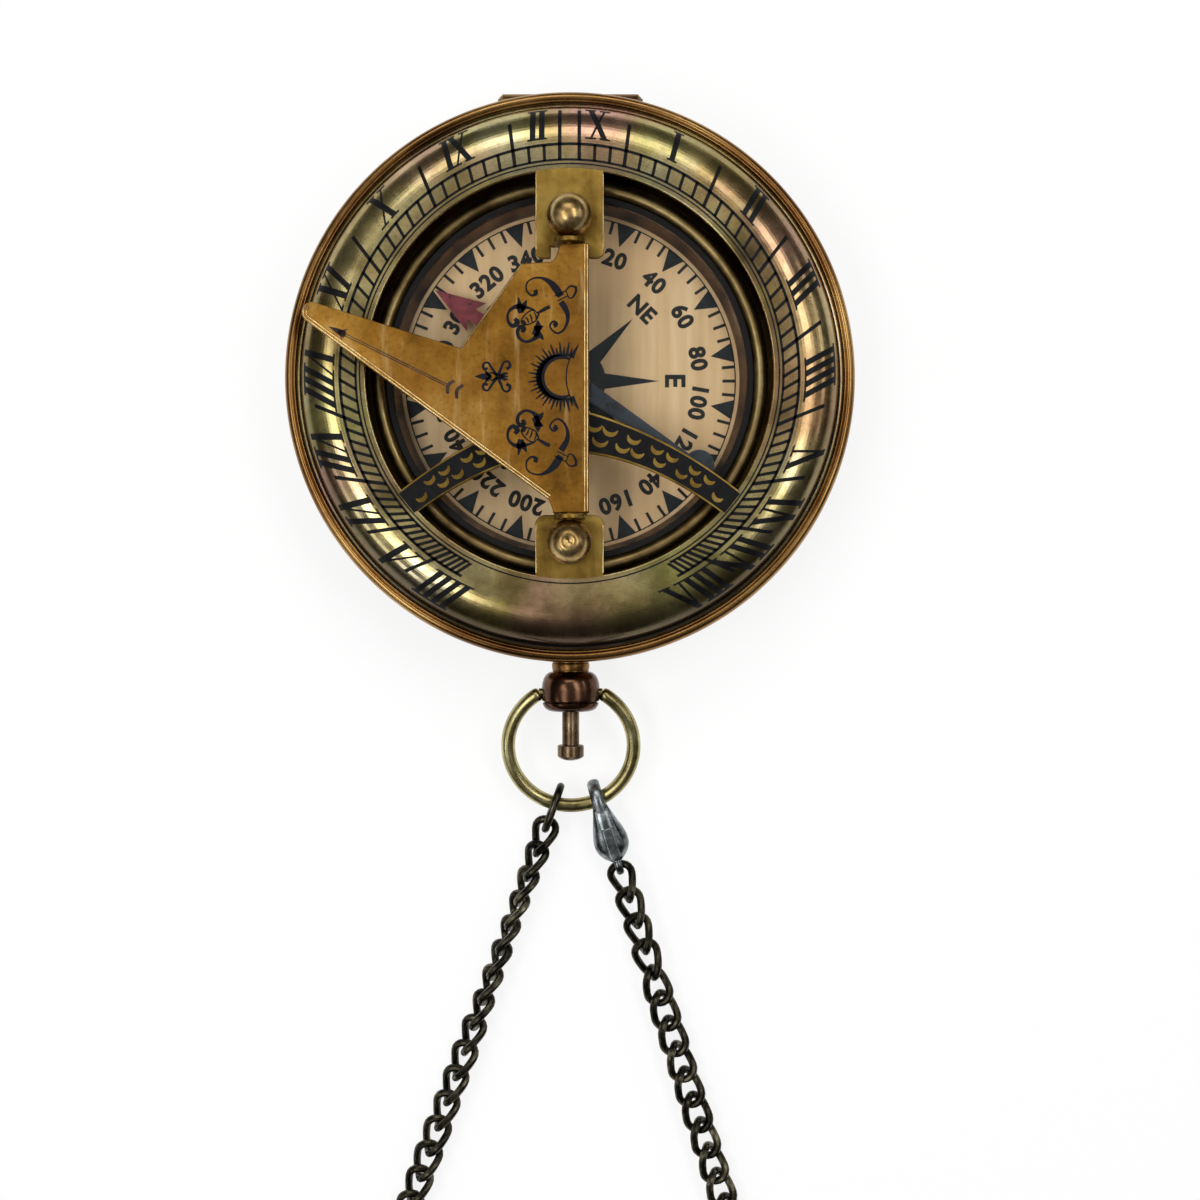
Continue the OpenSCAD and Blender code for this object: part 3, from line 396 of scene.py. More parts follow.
class Nodes:
    """Node tree of one material, with a short way to add and link nodes."""

    def __init__(self, name):
        self.material = bpy.data.materials.new(name)
        self.material.use_nodes = True
        self.tree = self.material.node_tree
        self.shader = self.tree.nodes["Principled BSDF"]
        self.coords = self.tree.nodes.new("ShaderNodeTexCoord").outputs["Object"]

    def add(self, kind, **values):
        node = self.tree.nodes.new("ShaderNode" + kind)
        for key, value in values.items():
            if key.startswith("_"):
                setattr(node, key[1:], value)
            else:
                socket = node.inputs[key.replace("_", " ")]
                if isinstance(value, bpy.types.NodeSocket):
                    self.tree.links.new(value, socket)
                else:
                    socket.default_value = value
        return node

    def link(self, output, socket):
        self.tree.links.new(output, socket)

    def mapped(self, scale=(1, 1, 1), turn=(0, 0, 0), move=(0, 0, 0)):
        node = self.add("Mapping", Vector=self.coords, Scale=scale, Rotation=turn, Location=move)
        return node.outputs["Vector"]

    def noise(self, scale, detail=4.0, rough=0.55, vector=None):
        node = self.add(
            "TexNoise", Vector=vector or self.coords, Scale=scale, Detail=detail, Roughness=rough
        )
        return node.outputs["Fac"]

    def ramp(self, value, stops):
        node = self.add("ValToRGB", Fac=value)
        ramp = node.color_ramp
        while len(ramp.elements) < len(stops):
            ramp.elements.new(0.5)
        for element, (at, colour) in zip(ramp.elements, stops):
            element.position = at
            element.color = colour
        return node.outputs["Color"]

    def ranged(self, value, low, high, start=0.0, end=1.0):
        node = self.add("MapRange", Value=value)
        for key, v in (("From Min", start), ("From Max", end), ("To Min", low), ("To Max", high)):
            node.inputs[key].default_value = v
        return node.outputs["Result"]

    def mix(self, factor, a, b, blend="MIX"):
        node = self.tree.nodes.new("ShaderNodeMix")
        node.data_type = "RGBA"
        node.blend_type = blend
        for key, v in ((0, factor), (6, a), (7, b)):
            if isinstance(v, bpy.types.NodeSocket):
                self.tree.links.new(v, node.inputs[key])
            else:
                node.inputs[key].default_value = v
        return node.outputs[2]

    def bump(self, height, strength, distance=0.00005):
        node = self.add("Bump", Height=height, Strength=strength, Distance=distance)
        self.link(node.outputs["Normal"], self.shader.inputs["Normal"])

    def finish(self, colour=None, roughness=None, **values):
        if colour is not None:
            self.link(colour, self.shader.inputs["Base Color"])
        if roughness is not None:
            self.link(roughness, self.shader.inputs["Roughness"])
        for key, value in values.items():
            self.shader.inputs[key.replace("_", " ")].default_value = value
        return self.material


def aged_metal(name, light, body, dark, rough=(0.22, 0.42), patch=90, grain=1400,
               brushed=None, bump=0.25, dents=0.0, speck=0.3):
    """Worn metal: clouds of tarnish between three tones, fine grain in the
    roughness, and either brushed scratches along one axis or a soft cast skin."""
    n = Nodes(name)
    clouds = n.noise(patch, 5, 0.6)
    colour = n.ramp(clouds, [(0.32, dark), (0.5, body), (0.68, light)])
    specks = n.noise(grain, 3, 0.5)
    colour = n.mix(n.ranged(specks, 0.0, speck, 0.52, 0.75), colour, dark)
    if brushed is not None:
        scratches = n.noise(900, 4, 0.6, n.mapped(scale=brushed))
        colour = n.mix(n.ranged(scratches, 0.0, 0.35, 0.45, 0.8), colour, light)
        n.bump(scratches, bump, 0.00004)
        roughness = n.ranged(scratches, rough[0], rough[1], 0.3, 0.75)
    else:
        skin = n.noise(dents or 500, 3, 0.5)
        n.bump(skin, bump, 0.00006)
        roughness = n.ranged(n.noise(patch * 3, 4), rough[0], rough[1], 0.3, 0.7)
    return n.finish(colour, roughness, Metallic=1.0)


def ring_metal():
    """Olive-gold sheet of the hour ring: warm and reddish stains, turning marks that run round the
    ring, and painted shade that darkens the outer dome, most towards the bottom."""
    n = Nodes("hour_ring_brass")
    clouds = n.noise(70, 5, 0.6)
    colour = n.ramp(clouds, [
        (0.30, srgb(84, 68, 36)), (0.45, srgb(160, 140, 84)),
        (0.58, srgb(206, 190, 132)), (0.72, srgb(240, 228, 194)),
    ])
    warm = n.noise(38, 3, 0.5, n.mapped(move=(0.3, 0.1, 0.2)))
    colour = n.mix(n.ranged(warm, 0.0, 0.75, 0.52, 0.70), colour, srgb(176, 124, 92))
    green = n.noise(46, 3, 0.5, n.mapped(move=(0.9, 0.4, 0.1)))
    colour = n.mix(n.ranged(green, 0.0, 0.6, 0.52, 0.68), colour, srgb(150, 150, 70))
    rose = n.noise(55, 3, 0.5, n.mapped(move=(0.2, 0.8, 0.5)))
    colour = n.mix(n.ranged(rose, 0.0, 0.6, 0.56, 0.70), colour, srgb(214, 160, 150))
    specks = n.noise(1600, 3)
    colour = n.mix(n.ranged(specks, 0.0, 0.35, 0.5, 0.75), colour, srgb(104, 84, 44))
    # painted shade: the outer slope of the dome is darkened, strongly towards the bottom (-Y),
    # hardly at the top
    radius = n.add("VectorMath", _operation="LENGTH")
    n.link(n.mapped(scale=(1, 1, 0)), radius.inputs[0])
    outer = n.ranged(radius.outputs["Value"], 0.0, 1.0, 0.0268, 0.0292)
    low = n.ranged(n.add("SeparateXYZ", Vector=n.coords).outputs["Y"], 0.9, 0.05, -0.024, 0.02)
    painted_shade = n.add("Math", _operation="MULTIPLY")
    n.link(outer, painted_shade.inputs[0])
    n.link(low, painted_shade.inputs[1])
    colour = n.mix(painted_shade.outputs[0], colour, srgb(58, 40, 20))
    wave = n.add("TexWave", _wave_type="RINGS", _rings_direction="Z", Vector=n.coords,
                 Scale=900.0, Distortion=1.5, Detail=3.0)
    n.bump(wave.outputs["Fac"], 0.10, 0.00002)
    roughness = n.ranged(n.noise(260, 4), 0.16, 0.34, 0.3, 0.7)
    return n.finish(colour, roughness, Metallic=1.0, Coat_Weight=0.4, Coat_Roughness=0.1)


def gnomon_metal():
    """Golden-copper plate with mottled stains and fine lengthwise scratches."""
    n = Nodes("gnomon_copper")
    clouds = n.noise(150, 6, 0.65)
    colour = n.ramp(clouds, [
        (0.30, srgb(98, 66, 22)), (0.46, srgb(146, 102, 38)),
        (0.60, srgb(166, 122, 52)), (0.76, srgb(190, 154, 88)),
    ])
    patches = n.noise(45, 3, 0.5, n.mapped(move=(0.7, 0.2, 0.0)))
    colour = n.mix(n.ranged(patches, 0.0, 0.7, 0.48, 0.66), colour, srgb(130, 88, 40))
    specks = n.noise(2200, 4, 0.6)
    colour = n.mix(n.ranged(specks, 0.0, 0.5, 0.5, 0.75), colour, srgb(88, 60, 26))
    scratches = n.noise(700, 4, 0.6, n.mapped(scale=(1, 0.12, 1), turn=(0, 0, 0.5)))
    colour = n.mix(n.ranged(scratches, 0.0, 0.45, 0.58, 0.76), colour, srgb(224, 196, 140))
    n.bump(scratches, 0.35, 0.00004)
    roughness = n.ranged(scratches, 0.36, 0.54, 0.3, 0.75)
    return n.finish(colour, roughness, Metallic=1.0)


def printed_paper():
    """Copper-toned printed card: vertical brush streaks and faint blotches."""
    n = Nodes("dial_card_print")
    streaks = n.noise(500, 4, 0.6, n.mapped(scale=(1, 0.06, 1)))
    colour = n.ramp(streaks, [(0.3, srgb(190, 156, 112)), (0.5, srgb(204, 171, 127)),
                              (0.7, srgb(218, 188, 146))])
    blotch = n.noise(60, 4)
    colour = n.mix(n.ranged(blotch, 0.0, 0.5, 0.5, 0.7), colour, srgb(208, 166, 118))
    n.bump(streaks, 0.1, 0.00002)
    return n.finish(colour, n.ranged(streaks, 0.5, 0.65), Metallic=0.0,
                    Specular_IOR_Level=0.2)


def enamel(name, tone, light, rough=(0.30, 0.5)):
    """Dark paint rubbed into engraving: slightly uneven in tone and gloss."""
    n = Nodes(name)
    patches = n.noise(900, 4, 0.6)
    colour = n.ramp(patches, [(0.4, tone), (0.75, light)])
    n.bump(patches, 0.2, 0.00002)
    return n.finish(colour, n.ranged(patches, rough[0], rough[1], 0.3, 0.7), Metallic=0.0,
                    Specular_IOR_Level=0.2)


def steel_metal(name, light, dark, rough=(0.25, 0.45)):
    """Grey steel with drawn marks and darker spots."""
    n = Nodes(name)
    marks = n.noise(1200, 4, 0.6)
    colour = n.ramp(n.noise(200, 4), [(0.35, dark), (0.65, light)])
    n.bump(marks, 0.15, 0.00003)
    return n.finish(colour, n.ranged(marks, rough[0], rough[1], 0.3, 0.7), Metallic=1.0)


def needle_paint():
    """Enamelled needle: crimson north end, ink-blue south end and middle, the
    two split at a plane across the needle, with uneven brushwork."""
    n = Nodes("needle_paint")
    a = math.radians(NEEDLE_BEARING)
    split = n.mapped(turn=(0, 0, a))
    parted = n.add("SeparateXYZ", Vector=split).outputs["Y"]
    north = n.ranged(parted, 0.0, 1.0, 0.0095, 0.0096)
    streaks = n.noise(900, 4)
    red = n.ramp(streaks, [(0.35, srgb(88, 12, 24)), (0.7, srgb(132, 26, 40))])
    blue = n.ramp(streaks, [(0.35, srgb(18, 26, 38)), (0.7, srgb(36, 52, 68))])
    n.bump(streaks, 0.15, 0.00002)
    return n.finish(n.mix(north, blue, red), n.ranged(streaks, 0.25, 0.4, 0.3, 0.7))


def window_glass():
    """Clear glass that lets the lamps' light through."""
    n = Nodes("compass_glass_clear")
    smear = n.noise(120, 3)
    n.link(n.ranged(smear, 0.01, 0.05, 0.3, 0.7), n.shader.inputs["Roughness"])
    n.finish(**{"Base_Color": (0.96, 0.98, 0.97, 1.0), "IOR": 1.3, "Transmission_Weight": 1.0})
    clear = n.add("BsdfTransparent")
    rays = n.add("LightPath")
    mixed = n.tree.nodes.new("ShaderNodeMixShader")
    n.link(rays.outputs["Is Shadow Ray"], mixed.inputs[0])
    n.link(n.shader.outputs[0], mixed.inputs[1])
    n.link(clear.outputs[0], mixed.inputs[2])
    n.link(mixed.outputs[0], n.tree.nodes["Material Output"].inputs["Surface"])
    return n.material


BRONZE = aged_metal("rim_bronze", srgb(178, 140, 84), srgb(136, 98, 54), srgb(84, 52, 28),
                    rough=(0.2, 0.34), patch=60, bump=0.04, dents=900, speck=0.2)
CASE_BRONZE = aged_metal("case_bronze", srgb(158, 122, 72), srgb(122, 88, 48), srgb(76, 50, 28),
                         rough=(0.24, 0.42), patch=80, bump=0.1, dents=700)
RED_BRONZE = aged_metal("pendant_bronze", srgb(118, 88, 68), srgb(84, 58, 44), srgb(44, 32, 26),
                        rough=(0.16, 0.32), patch=220, bump=0.05, dents=900, speck=0.15)
PIN_BRONZE = aged_metal("pin_bronze", srgb(150, 128, 104), srgb(104, 84, 62), srgb(54, 40, 30),
                        rough=(0.22, 0.4), patch=240, bump=0.06, dents=900, speck=0.2)
RING_BRASS = ring_metal()
TAB_BRASS = aged_metal("tab_brass", srgb(176, 148, 78), srgb(148, 118, 54), srgb(98, 72, 30),
                       rough=(0.32, 0.5), patch=170, brushed=(1, 0.2, 1), bump=0.2)
# painted highlight: a light brass colour for the raised edge lines, standing in for the glint of
# the lamps on the edges
HIGHLIGHT_EDGE_BRASS = aged_metal("painted_highlight_edge", srgb(240, 214, 160), srgb(222, 190, 128),
                        srgb(180, 140, 84), rough=(0.15, 0.28), patch=500, bump=0.1)
GNOMON_COPPER = gnomon_metal()
BALL_BRASS = aged_metal("ball_brass", srgb(214, 188, 136), srgb(182, 150, 96), srgb(120, 92, 54),
                        rough=(0.2, 0.4), patch=420, bump=0.5, dents=420)
BEZEL_BRASS = aged_metal("bezel_brass", srgb(178, 158, 108), srgb(146, 124, 80), srgb(94, 76, 48),
                         rough=(0.3, 0.46), patch=160, bump=0.12, dents=800)
REHAUT_BROWN = aged_metal("rehaut_brown", srgb(128, 106, 86), srgb(104, 82, 66),
                          srgb(78, 60, 48), rough=(0.3, 0.45), patch=120, bump=0.08, dents=900)
BOWL_BRASS = aged_metal("bowl_brass", srgb(138, 116, 70), srgb(104, 84, 50), srgb(60, 48, 32))
BOW_BRASS = aged_metal("bow_brass", srgb(206, 196, 144), srgb(170, 158, 108), srgb(104, 92, 56),
                       rough=(0.22, 0.38), patch=200, bump=0.04, dents=500, speck=0.12)
CHAIN_METAL = aged_metal("chain_gunmetal", srgb(112, 106, 86), srgb(64, 60, 48), srgb(26, 25, 20),
                         rough=(0.24, 0.42), patch=420, grain=2600, bump=0.2, dents=1200)
CLASP_METAL = aged_metal("clasp_gunmetal", srgb(186, 192, 196), srgb(122, 128, 130),
                         srgb(50, 50, 46), rough=(0.2, 0.4), patch=420, bump=0.25, dents=600)
STEEL = steel_metal("spring_steel", srgb(168, 168, 162), srgb(112, 112, 108))
BLACK_FILL = enamel("black_fill", srgb(8, 8, 10), srgb(20, 20, 24), (0.35, 0.55))
FADED_FILL = enamel("faded_fill", srgb(58, 44, 40), srgb(96, 76, 62))
INK_FILL = enamel("ink_fill", srgb(8, 10, 20), srgb(20, 26, 40), (0.4, 0.6))
PRINT_BLACK = enamel("print_black", srgb(8, 8, 8), srgb(18, 16, 14), (0.5, 0.7))
PRINT_BLUE = enamel("print_blue", srgb(5, 12, 16), srgb(12, 24, 30), (0.5, 0.7))
DIAL_PAPER = printed_paper()
NEEDLE_PAINT = needle_paint()
GASKET = enamel("gasket_rubber", srgb(18, 17, 16), srgb(34, 32, 30), (0.5, 0.7))
GLASS = window_glass()


# ---------------------------------------------------------------- chain

def wire_at(x):
    """Point of the bow's far wire at offset x."""
    along = BOW_OFFSET + math.sqrt(BOW_R**2 - x * x)
    return np.array([x, -BOW_AXIS_Y - along * math.cos(BOW_PITCH),
                     PENDANT_Z - along * math.sin(BOW_PITCH)])


def link_mesh(inner_l, inner_w, wire, twist=0.0, steps=12, sides=10):
    """One link along X: a stadium path of two straight sides and two half
    circles, its plane turned evenly by twist degrees from end to end."""
    r = (inner_w + wire) / 2
    half = (inner_l - inner_w) / 2
    a = np.radians(np.linspace(-90, 90, steps))
    end = np.stack([half + r * np.cos(a), r * np.sin(a), 0 * a], -1)
    top = np.stack([np.linspace(half, -half, 6)[1:-1], np.full(4, r), np.zeros(4)], -1)
    path = np.concatenate([end, top, end * [-1, -1, 1], top * [-1, -1, 1]])
    angle = np.radians(twist) * path[:, 0] / (half + r)
    c, s = np.cos(angle), np.sin(angle)
    path = np.stack([path[:, 0], path[:, 1] * c, path[:, 1] * s], -1)
    across = np.stack([0 * c, -s, c], -1)
    return tube(path, across, wire / 2, True, sides)


def place_link(part, centre, heading, roll):
    """A link set at a centre with its X axis along a heading, rolled about it."""
    p, f = part
    turn = Euler((math.radians(roll), 0, 0)).to_matrix()
    head = Euler((0, 0, math.radians(heading))).to_matrix()
    return p @ np.array(head @ turn).T + centre, f


def make_lead(name, near, far, high, rolls, node):
    """Straight run of one link for each roll, from near to far, that sinks from
    the height high to the chain's height."""
    count = len(rolls)
    step = np.linalg.norm(far - near) / count
    part = link_mesh(step + CHAIN_SLACK, LINK_INNER_W, CHAIN_WIRE, CURB_TWIST)
    heading = math.degrees(math.atan2(far[1] - near[1], far[0] - near[0]))
    t = (np.arange(count) + 0.5) / count
    centres = near + t[:, None] * (far - near)
    z = high + t * (CHAIN_Z - high)
    links = [place_link(part, [*centres[i], z[i]], heading, rolls[i]) for i in range(count)]
    solid(name, join(links), "chain_leads", "chain_metal", CHAIN_METAL, [node], merge=False)


def lead_line(x, lean, side):
    """Direction of the lead that leaves the bow at offset x and leans to one
    side, and its far end."""
    lean = math.radians(lean)
    along = np.array([side * math.sin(lean), -math.cos(lean)])
    wire = wire_at(x)
    return along, wire[:2] + (LEAD_Y + wire[1]) / math.cos(lean) * along


def loop_route():
    """Straight run, round loop and straight run between the two leads: a
    function of the distance along it, its length, and both leads' lines."""
    left, left_far = lead_line(-LEFT_X, LEFT_LEAN, -1)
    right, right_far = lead_line(RIGHT_X, RIGHT_LEAN, 1)
    left_normal, right_normal = np.array([-left[1], left[0]]), np.array([right[1], -right[0]])
    centre = np.linalg.solve(
        np.array([left_normal, right_normal]),
        [LOOP_R + left_far @ left_normal, LOOP_R + right_far @ right_normal],
    )
    left_tangent, right_tangent = centre - LOOP_R * left_normal, centre - LOOP_R * right_normal
    first = np.linalg.norm(left_tangent - left_far)
    last = np.linalg.norm(right_tangent - right_far)
    bend_end = first + math.radians(180 + LEFT_LEAN + RIGHT_LEAN) * LOOP_R

    def at(s):
        """Places and headings, in degrees, at the distances s."""
        s = np.asarray(s, float)[:, None]
        a = math.radians(180 - LEFT_LEAN) + (s - first) / LOOP_R
        curve = centre + LOOP_R * np.concatenate([np.cos(a), np.sin(a)], 1)
        back = right_tangent - (s - bend_end) * right
        place = np.where(s < first, left_far + s * left, np.where(s < bend_end, curve, back))
        homeward = math.atan2(-right[1], -right[0])
        heading = np.where(s < first, math.atan2(left[1], left[0]),
                           np.where(s < bend_end, a + math.pi / 2, homeward))
        return place, np.degrees(heading[:, 0])

    return at, bend_end + last, left, right, left_far, right_far


def make_chain():
    """End link on the bow, two leads and the loop that lies on the table. Each
    link is a curb link: its plane turns a quarter from one end to the other."""
    at, length, left, right, left_far, right_far = loop_route()
    count = 2 * round((length / LINK_PITCH - 1) / 2) + 1
    step = length / count
    part = link_mesh(step + CHAIN_SLACK, LINK_INNER_W, CHAIN_WIRE, CURB_TWIST)
    i = np.arange(count)
    places, headings = at((i + 0.5) * step)
    # nearly on edge at the left lead, then soon flatter
    rolls = 22 + 50 * np.exp(-i / 5) + 5 * np.sin(1.7 * i)
    links = [
        place_link(part, [*places[i], CHAIN_Z], headings[i], rolls[i]) for i in range(count)
    ]
    loop = solid("chain_loop_links", join(links), "chain_loop", "chain_metal", CHAIN_METAL,
                 ["chain_loop"], merge=False)
    route, _ = at(np.linspace(0, length, 160))
    route = np.concatenate([route, np.full((len(route), 1), CHAIN_Z)], 1) * MM

    left_wire, right_wire = wire_at(-LEFT_X), wire_at(RIGHT_X)
    half = (CHAIN_WIRE + CHAIN_SLACK) / 2
    make_lead("chain_left_links", left_wire[:2] + END_LINK_L * left, left_far, left_wire[2],
              LEFT_ROLLS, "chain_left")
    make_lead("chain_right_links", right_wire[:2] + (CLASP_EYE_L + half) * right, right_far,
              CLASP_Z, RIGHT_ROLLS, "chain_right")

    back = BOW_WIRE_D / 2 + END_PLAY + END_SLACK
    inner_l = END_LINK_L + back + half - CHAIN_WIRE / 2
    part = link_mesh(inner_l, BOW_WIRE_D + 1, CHAIN_WIRE, steps=20, sides=14)
    centre = left_wire + [*((inner_l / 2 - back) * left), 0]
    solid("chain_end_ring", place_link(part, centre, -90 - LEFT_LEAN, 90), "chain_leads",
          "chain_metal", CHAIN_METAL, ["chain_end_link"], merge=False)


# ---------------------------------------------------------------- case

def make_case():
    """Back pressed from sheet with a rounded edge, as one turned shell."""
    lip, wall = BORE_R - SEAT_GAP, BORE_R - 0.75
    back = np.concatenate([
        [[0, 0]],
        arc((BAND_R - EDGE_R, EDGE_R), EDGE_R, -90, 0, 16),
        [[BAND_R, BACK_H - 0.06], [BAND_R - 0.06, BACK_H], [lip, BACK_H],
         [lip, BACK_H + 1], [wall, BACK_H + 1]],
        arc((wall - EDGE_R + BACK_T, EDGE_R), EDGE_R - BACK_T, 0, -90, 12),
        [[0, BACK_T]],
    ])
    solid("case_back_shell", lathe(back, 240, False), "case", "bronze", CASE_BRONZE, ["case_back"])


def make_pendant():
    """Grooved ball, the collar on the neck and the button's domed head, each a
    profile of (radius, length) turned about the pendant's axis."""
    r = PENDANT_D / 2
    half = BOW_AXIS_Y - NECK_END
    ball = np.concatenate([
        [[1.45, 0], [1.9, 0]],
        bend((1.9, 0), (r - 0.1, 0.1), (r, half - 0.5), 14),
        [[r, half + 0.7], [r - 0.03, half + 0.95], [r - 0.2, half + 1.02], [r - 0.26, half + 1.12],
         [r - 0.12, half + 1.22]],
        bend((r - 0.1, half + 1.26), (r - 0.3, PENDANT_L), (1.75, PENDANT_L), 12),
        [[1.03, PENDANT_L], [1.03, PENDANT_L - 0.6], [1.45, PENDANT_L - 0.6]],
    ])
    solid("pendant_barrel", along_y(lathe(ball, 96), -NECK_END, PENDANT_Z), "case", "bronze",
          RED_BRONZE, ["pendant_ball"])
    collar = soften([[1.2, 0], [2.08, 0], [2.16, 0.25], [2.08, 0.95], [1.2, 0.95]], 0.1, 4)
    solid("neck_collar", along_y(lathe(collar, 96), -NECK_END + 1.0, PENDANT_Z), "case", "bronze",
          CASE_BRONZE)
    head = np.concatenate([
        [[0, 0], [HEAD_D / 2 - 0.15, 0], [HEAD_D / 2, 0.12], [HEAD_D / 2, HEAD_L - 0.25]],
        bend((HEAD_D / 2, HEAD_L - 0.2), (HEAD_D / 3, HEAD_L + 0.3), (0, HEAD_L + 0.3), 8),
    ])
    solid("push_button_head", along_y(lathe(head, 64, False), -PIN_HEAD_Y, PENDANT_Z), "button",
          "bronze", PIN_BRONZE, ["push_head"])


def make_bow():
    """Round wire bow whose ends taper onto short pivots in the pendant; it is
    made flat about its axis, then lies back at its pitch."""
    end_x = PENDANT_D / 2 + 0.22
    end = math.asin(end_x / BOW_R)
    turn = 2 * math.pi - 2 * end
    near = np.array([0, 0.04, 0.12, 0.24, 0.4]) / BOW_R
    steps = np.concatenate([near, np.linspace(0.06, turn - 0.06, 140), turn - near[::-1]])
    a = math.pi / 2 + end + steps
    path = np.stack([BOW_R * np.cos(a), BOW_R * np.sin(a) - BOW_OFFSET, 0 * a], -1)
    size = np.full(len(a), BOW_WIRE_D / 2)
    size[:5] = np.array([0.52, 0.62, 0.7, 0.76, 0.79])
    size[-5:] = size[4::-1]
    parts = [tube(path, [0, 0, 1], size, sides=24)]
    for side in (-1, 1):
        x = np.linspace(PENDANT_D / 2 - 1, end_x + 0.1, 5) * side
        parts.append(tube(np.stack([x, 0 * x, 0 * x], -1), [0, 0, 1], 0.45, sides=16))
    points, faces = join(parts)
    c, s = math.cos(BOW_PITCH), math.sin(BOW_PITCH)
    points = np.stack([points[:, 0], points[:, 1] * c - points[:, 2] * s - BOW_AXIS_Y,
                       points[:, 1] * s + points[:, 2] * c + PENDANT_Z], -1)
    solid("bow_wire", (points, faces), "bow", "olive_brass", BOW_BRASS, ["bow"])


# ---------------------------------------------------------------- compass

def make_compass():
    """Dial card, sloping ring, gasket, glass and bezel: profiles of (radius,
    height) turned about the axis."""
    seat, top = BOWL_R - SEAT_GAP, GLASS_Z + GLASS_T
    card = [[1.0, DIAL_Z - DIAL_T], [seat, DIAL_Z - DIAL_T], [seat, DIAL_Z], [1.0, DIAL_Z]]
    solid("dial_card_face", lathe(soften(card, 0.03, 3), 180), "case", "paper", DIAL_PAPER,
          ["dial_card"])
    rehaut = [[DIAL_R, DIAL_Z], [seat, DIAL_Z], [seat, GLASS_Z],
              [BOWL_R - 0.45, GLASS_Z], [DIAL_R, DIAL_Z + 0.3]]
    solid("rehaut_slope", lathe(soften(rehaut, 0.12), 240), "case", "brass", REHAUT_BROWN,
          ["rehaut_ring"])
    gasket = [[seat, GLASS_Z], [BOWL_R + 0.25, GLASS_Z], [BOWL_R + 0.25, top + 0.35],
              [BOWL_R - 0.45, top + 0.35], [BOWL_R - 0.45, top], [seat, top]]
    solid("gasket_ring", lathe(soften(gasket, 0.06, 4), 240), "case", "rubber", GASKET,
          ["glass_gasket"])
    pane = [[0, GLASS_Z], [BOWL_R - 0.1, GLASS_Z], [BOWL_R - 0.1, top], [0, top]]
    solid("glass_pane", lathe(soften(pane, 0.05, 4, False), 180, False), "case", "glass", GLASS,
          ["compass_glass"])
    inner, outer, foot = BOWL_R + 0.3, BOWL_OUTER + SEAT_GAP, 7.35
    bead = (BEZEL_R - inner) / 2
    bezel = np.concatenate([
        [[outer, foot], [BEZEL_R - 0.1, foot], [BEZEL_R, foot + 0.1]],
        arc((BEZEL_R - bead, BEZEL_TOP - bead), bead, 0, 180, 24),
        [[inner, BOWL_TOP], [outer, BOWL_TOP]],
    ])
    solid("bezel_bead", lathe(bezel, 240), "case", "brass", BEZEL_BRASS, ["bezel_ring"])


def spokes(bearings, corners):
    """The same polygon on each bearing: corners are (radius, offset to the right)."""
    a = np.radians(np.asarray(bearings))[:, None]
    r, u = np.array(corners, float).T
    return np.stack([r * np.sin(a) + u * np.cos(a), r * np.cos(a) - u * np.sin(a)], -1)


def make_dial_print():
    """Edge line, ticks every 5 degrees, wedges every 20, figures, letters and
    the eight-pointed rose of the dial, as thin printed solids on the card."""
    low, high = DIAL_Z - 0.01, DIAL_Z + 0.015
    edge_in, edge_out, hub_r = 18.42, 18.56, 3.95
    twenties, points = range(0, 360, 20), range(0, 360, 45)
    tick = [(17.05, -0.17), (18.5, -0.17), (18.5, 0.17), (17.05, 0.17)]
    wedge = [(15.95, 0), (18.45, -1.1), (18.58, 0), (18.45, 1.1)]
    ray = [(3.0, -1.0), (9.95, 0), (3.0, 1.0), (0.5, 0)]
    edge = [[[0, edge_in], [0, edge_out], [360, edge_out], [360, edge_in]]]
    black = [
        inlay(edge, lambda x, y: np.full(x.shape, high), 0.025, 2, 241, polar),
        prisms(spokes([b for b in range(0, 360, 5) if b % 20], tick), low, high),
    ]
    for bearing in twenties:
        black.append(turned(lettering(str(bearing), 2.5, 0.11, 1.1), bearing, 14.55, high - 0.01))
    for bearing, letters in zip(points, ("N", "NE", "E", "SE", "S", "SW", "W", "NW")):
        size, radius = (3.1, 11.75) if len(letters) == 1 else (2.5, 11.4)
        black.append(turned(lettering(letters, size, 0.1, 1.05), bearing, radius, high - 0.01))
    hub = spokes(range(0, 360, 3), [(hub_r, 0)]).reshape(1, -1, 2)
    blue = [
        prisms(spokes(twenties, wedge), low, high),
        prisms(spokes(points, ray), low, high + 0.004),
        prisms(hub, low, high + 0.008),
    ]
    solid("dial_print_black", join(black), "case", "paper", PRINT_BLACK)
    solid("dial_print_blue", join(blue), "case", "paper", PRINT_BLUE)


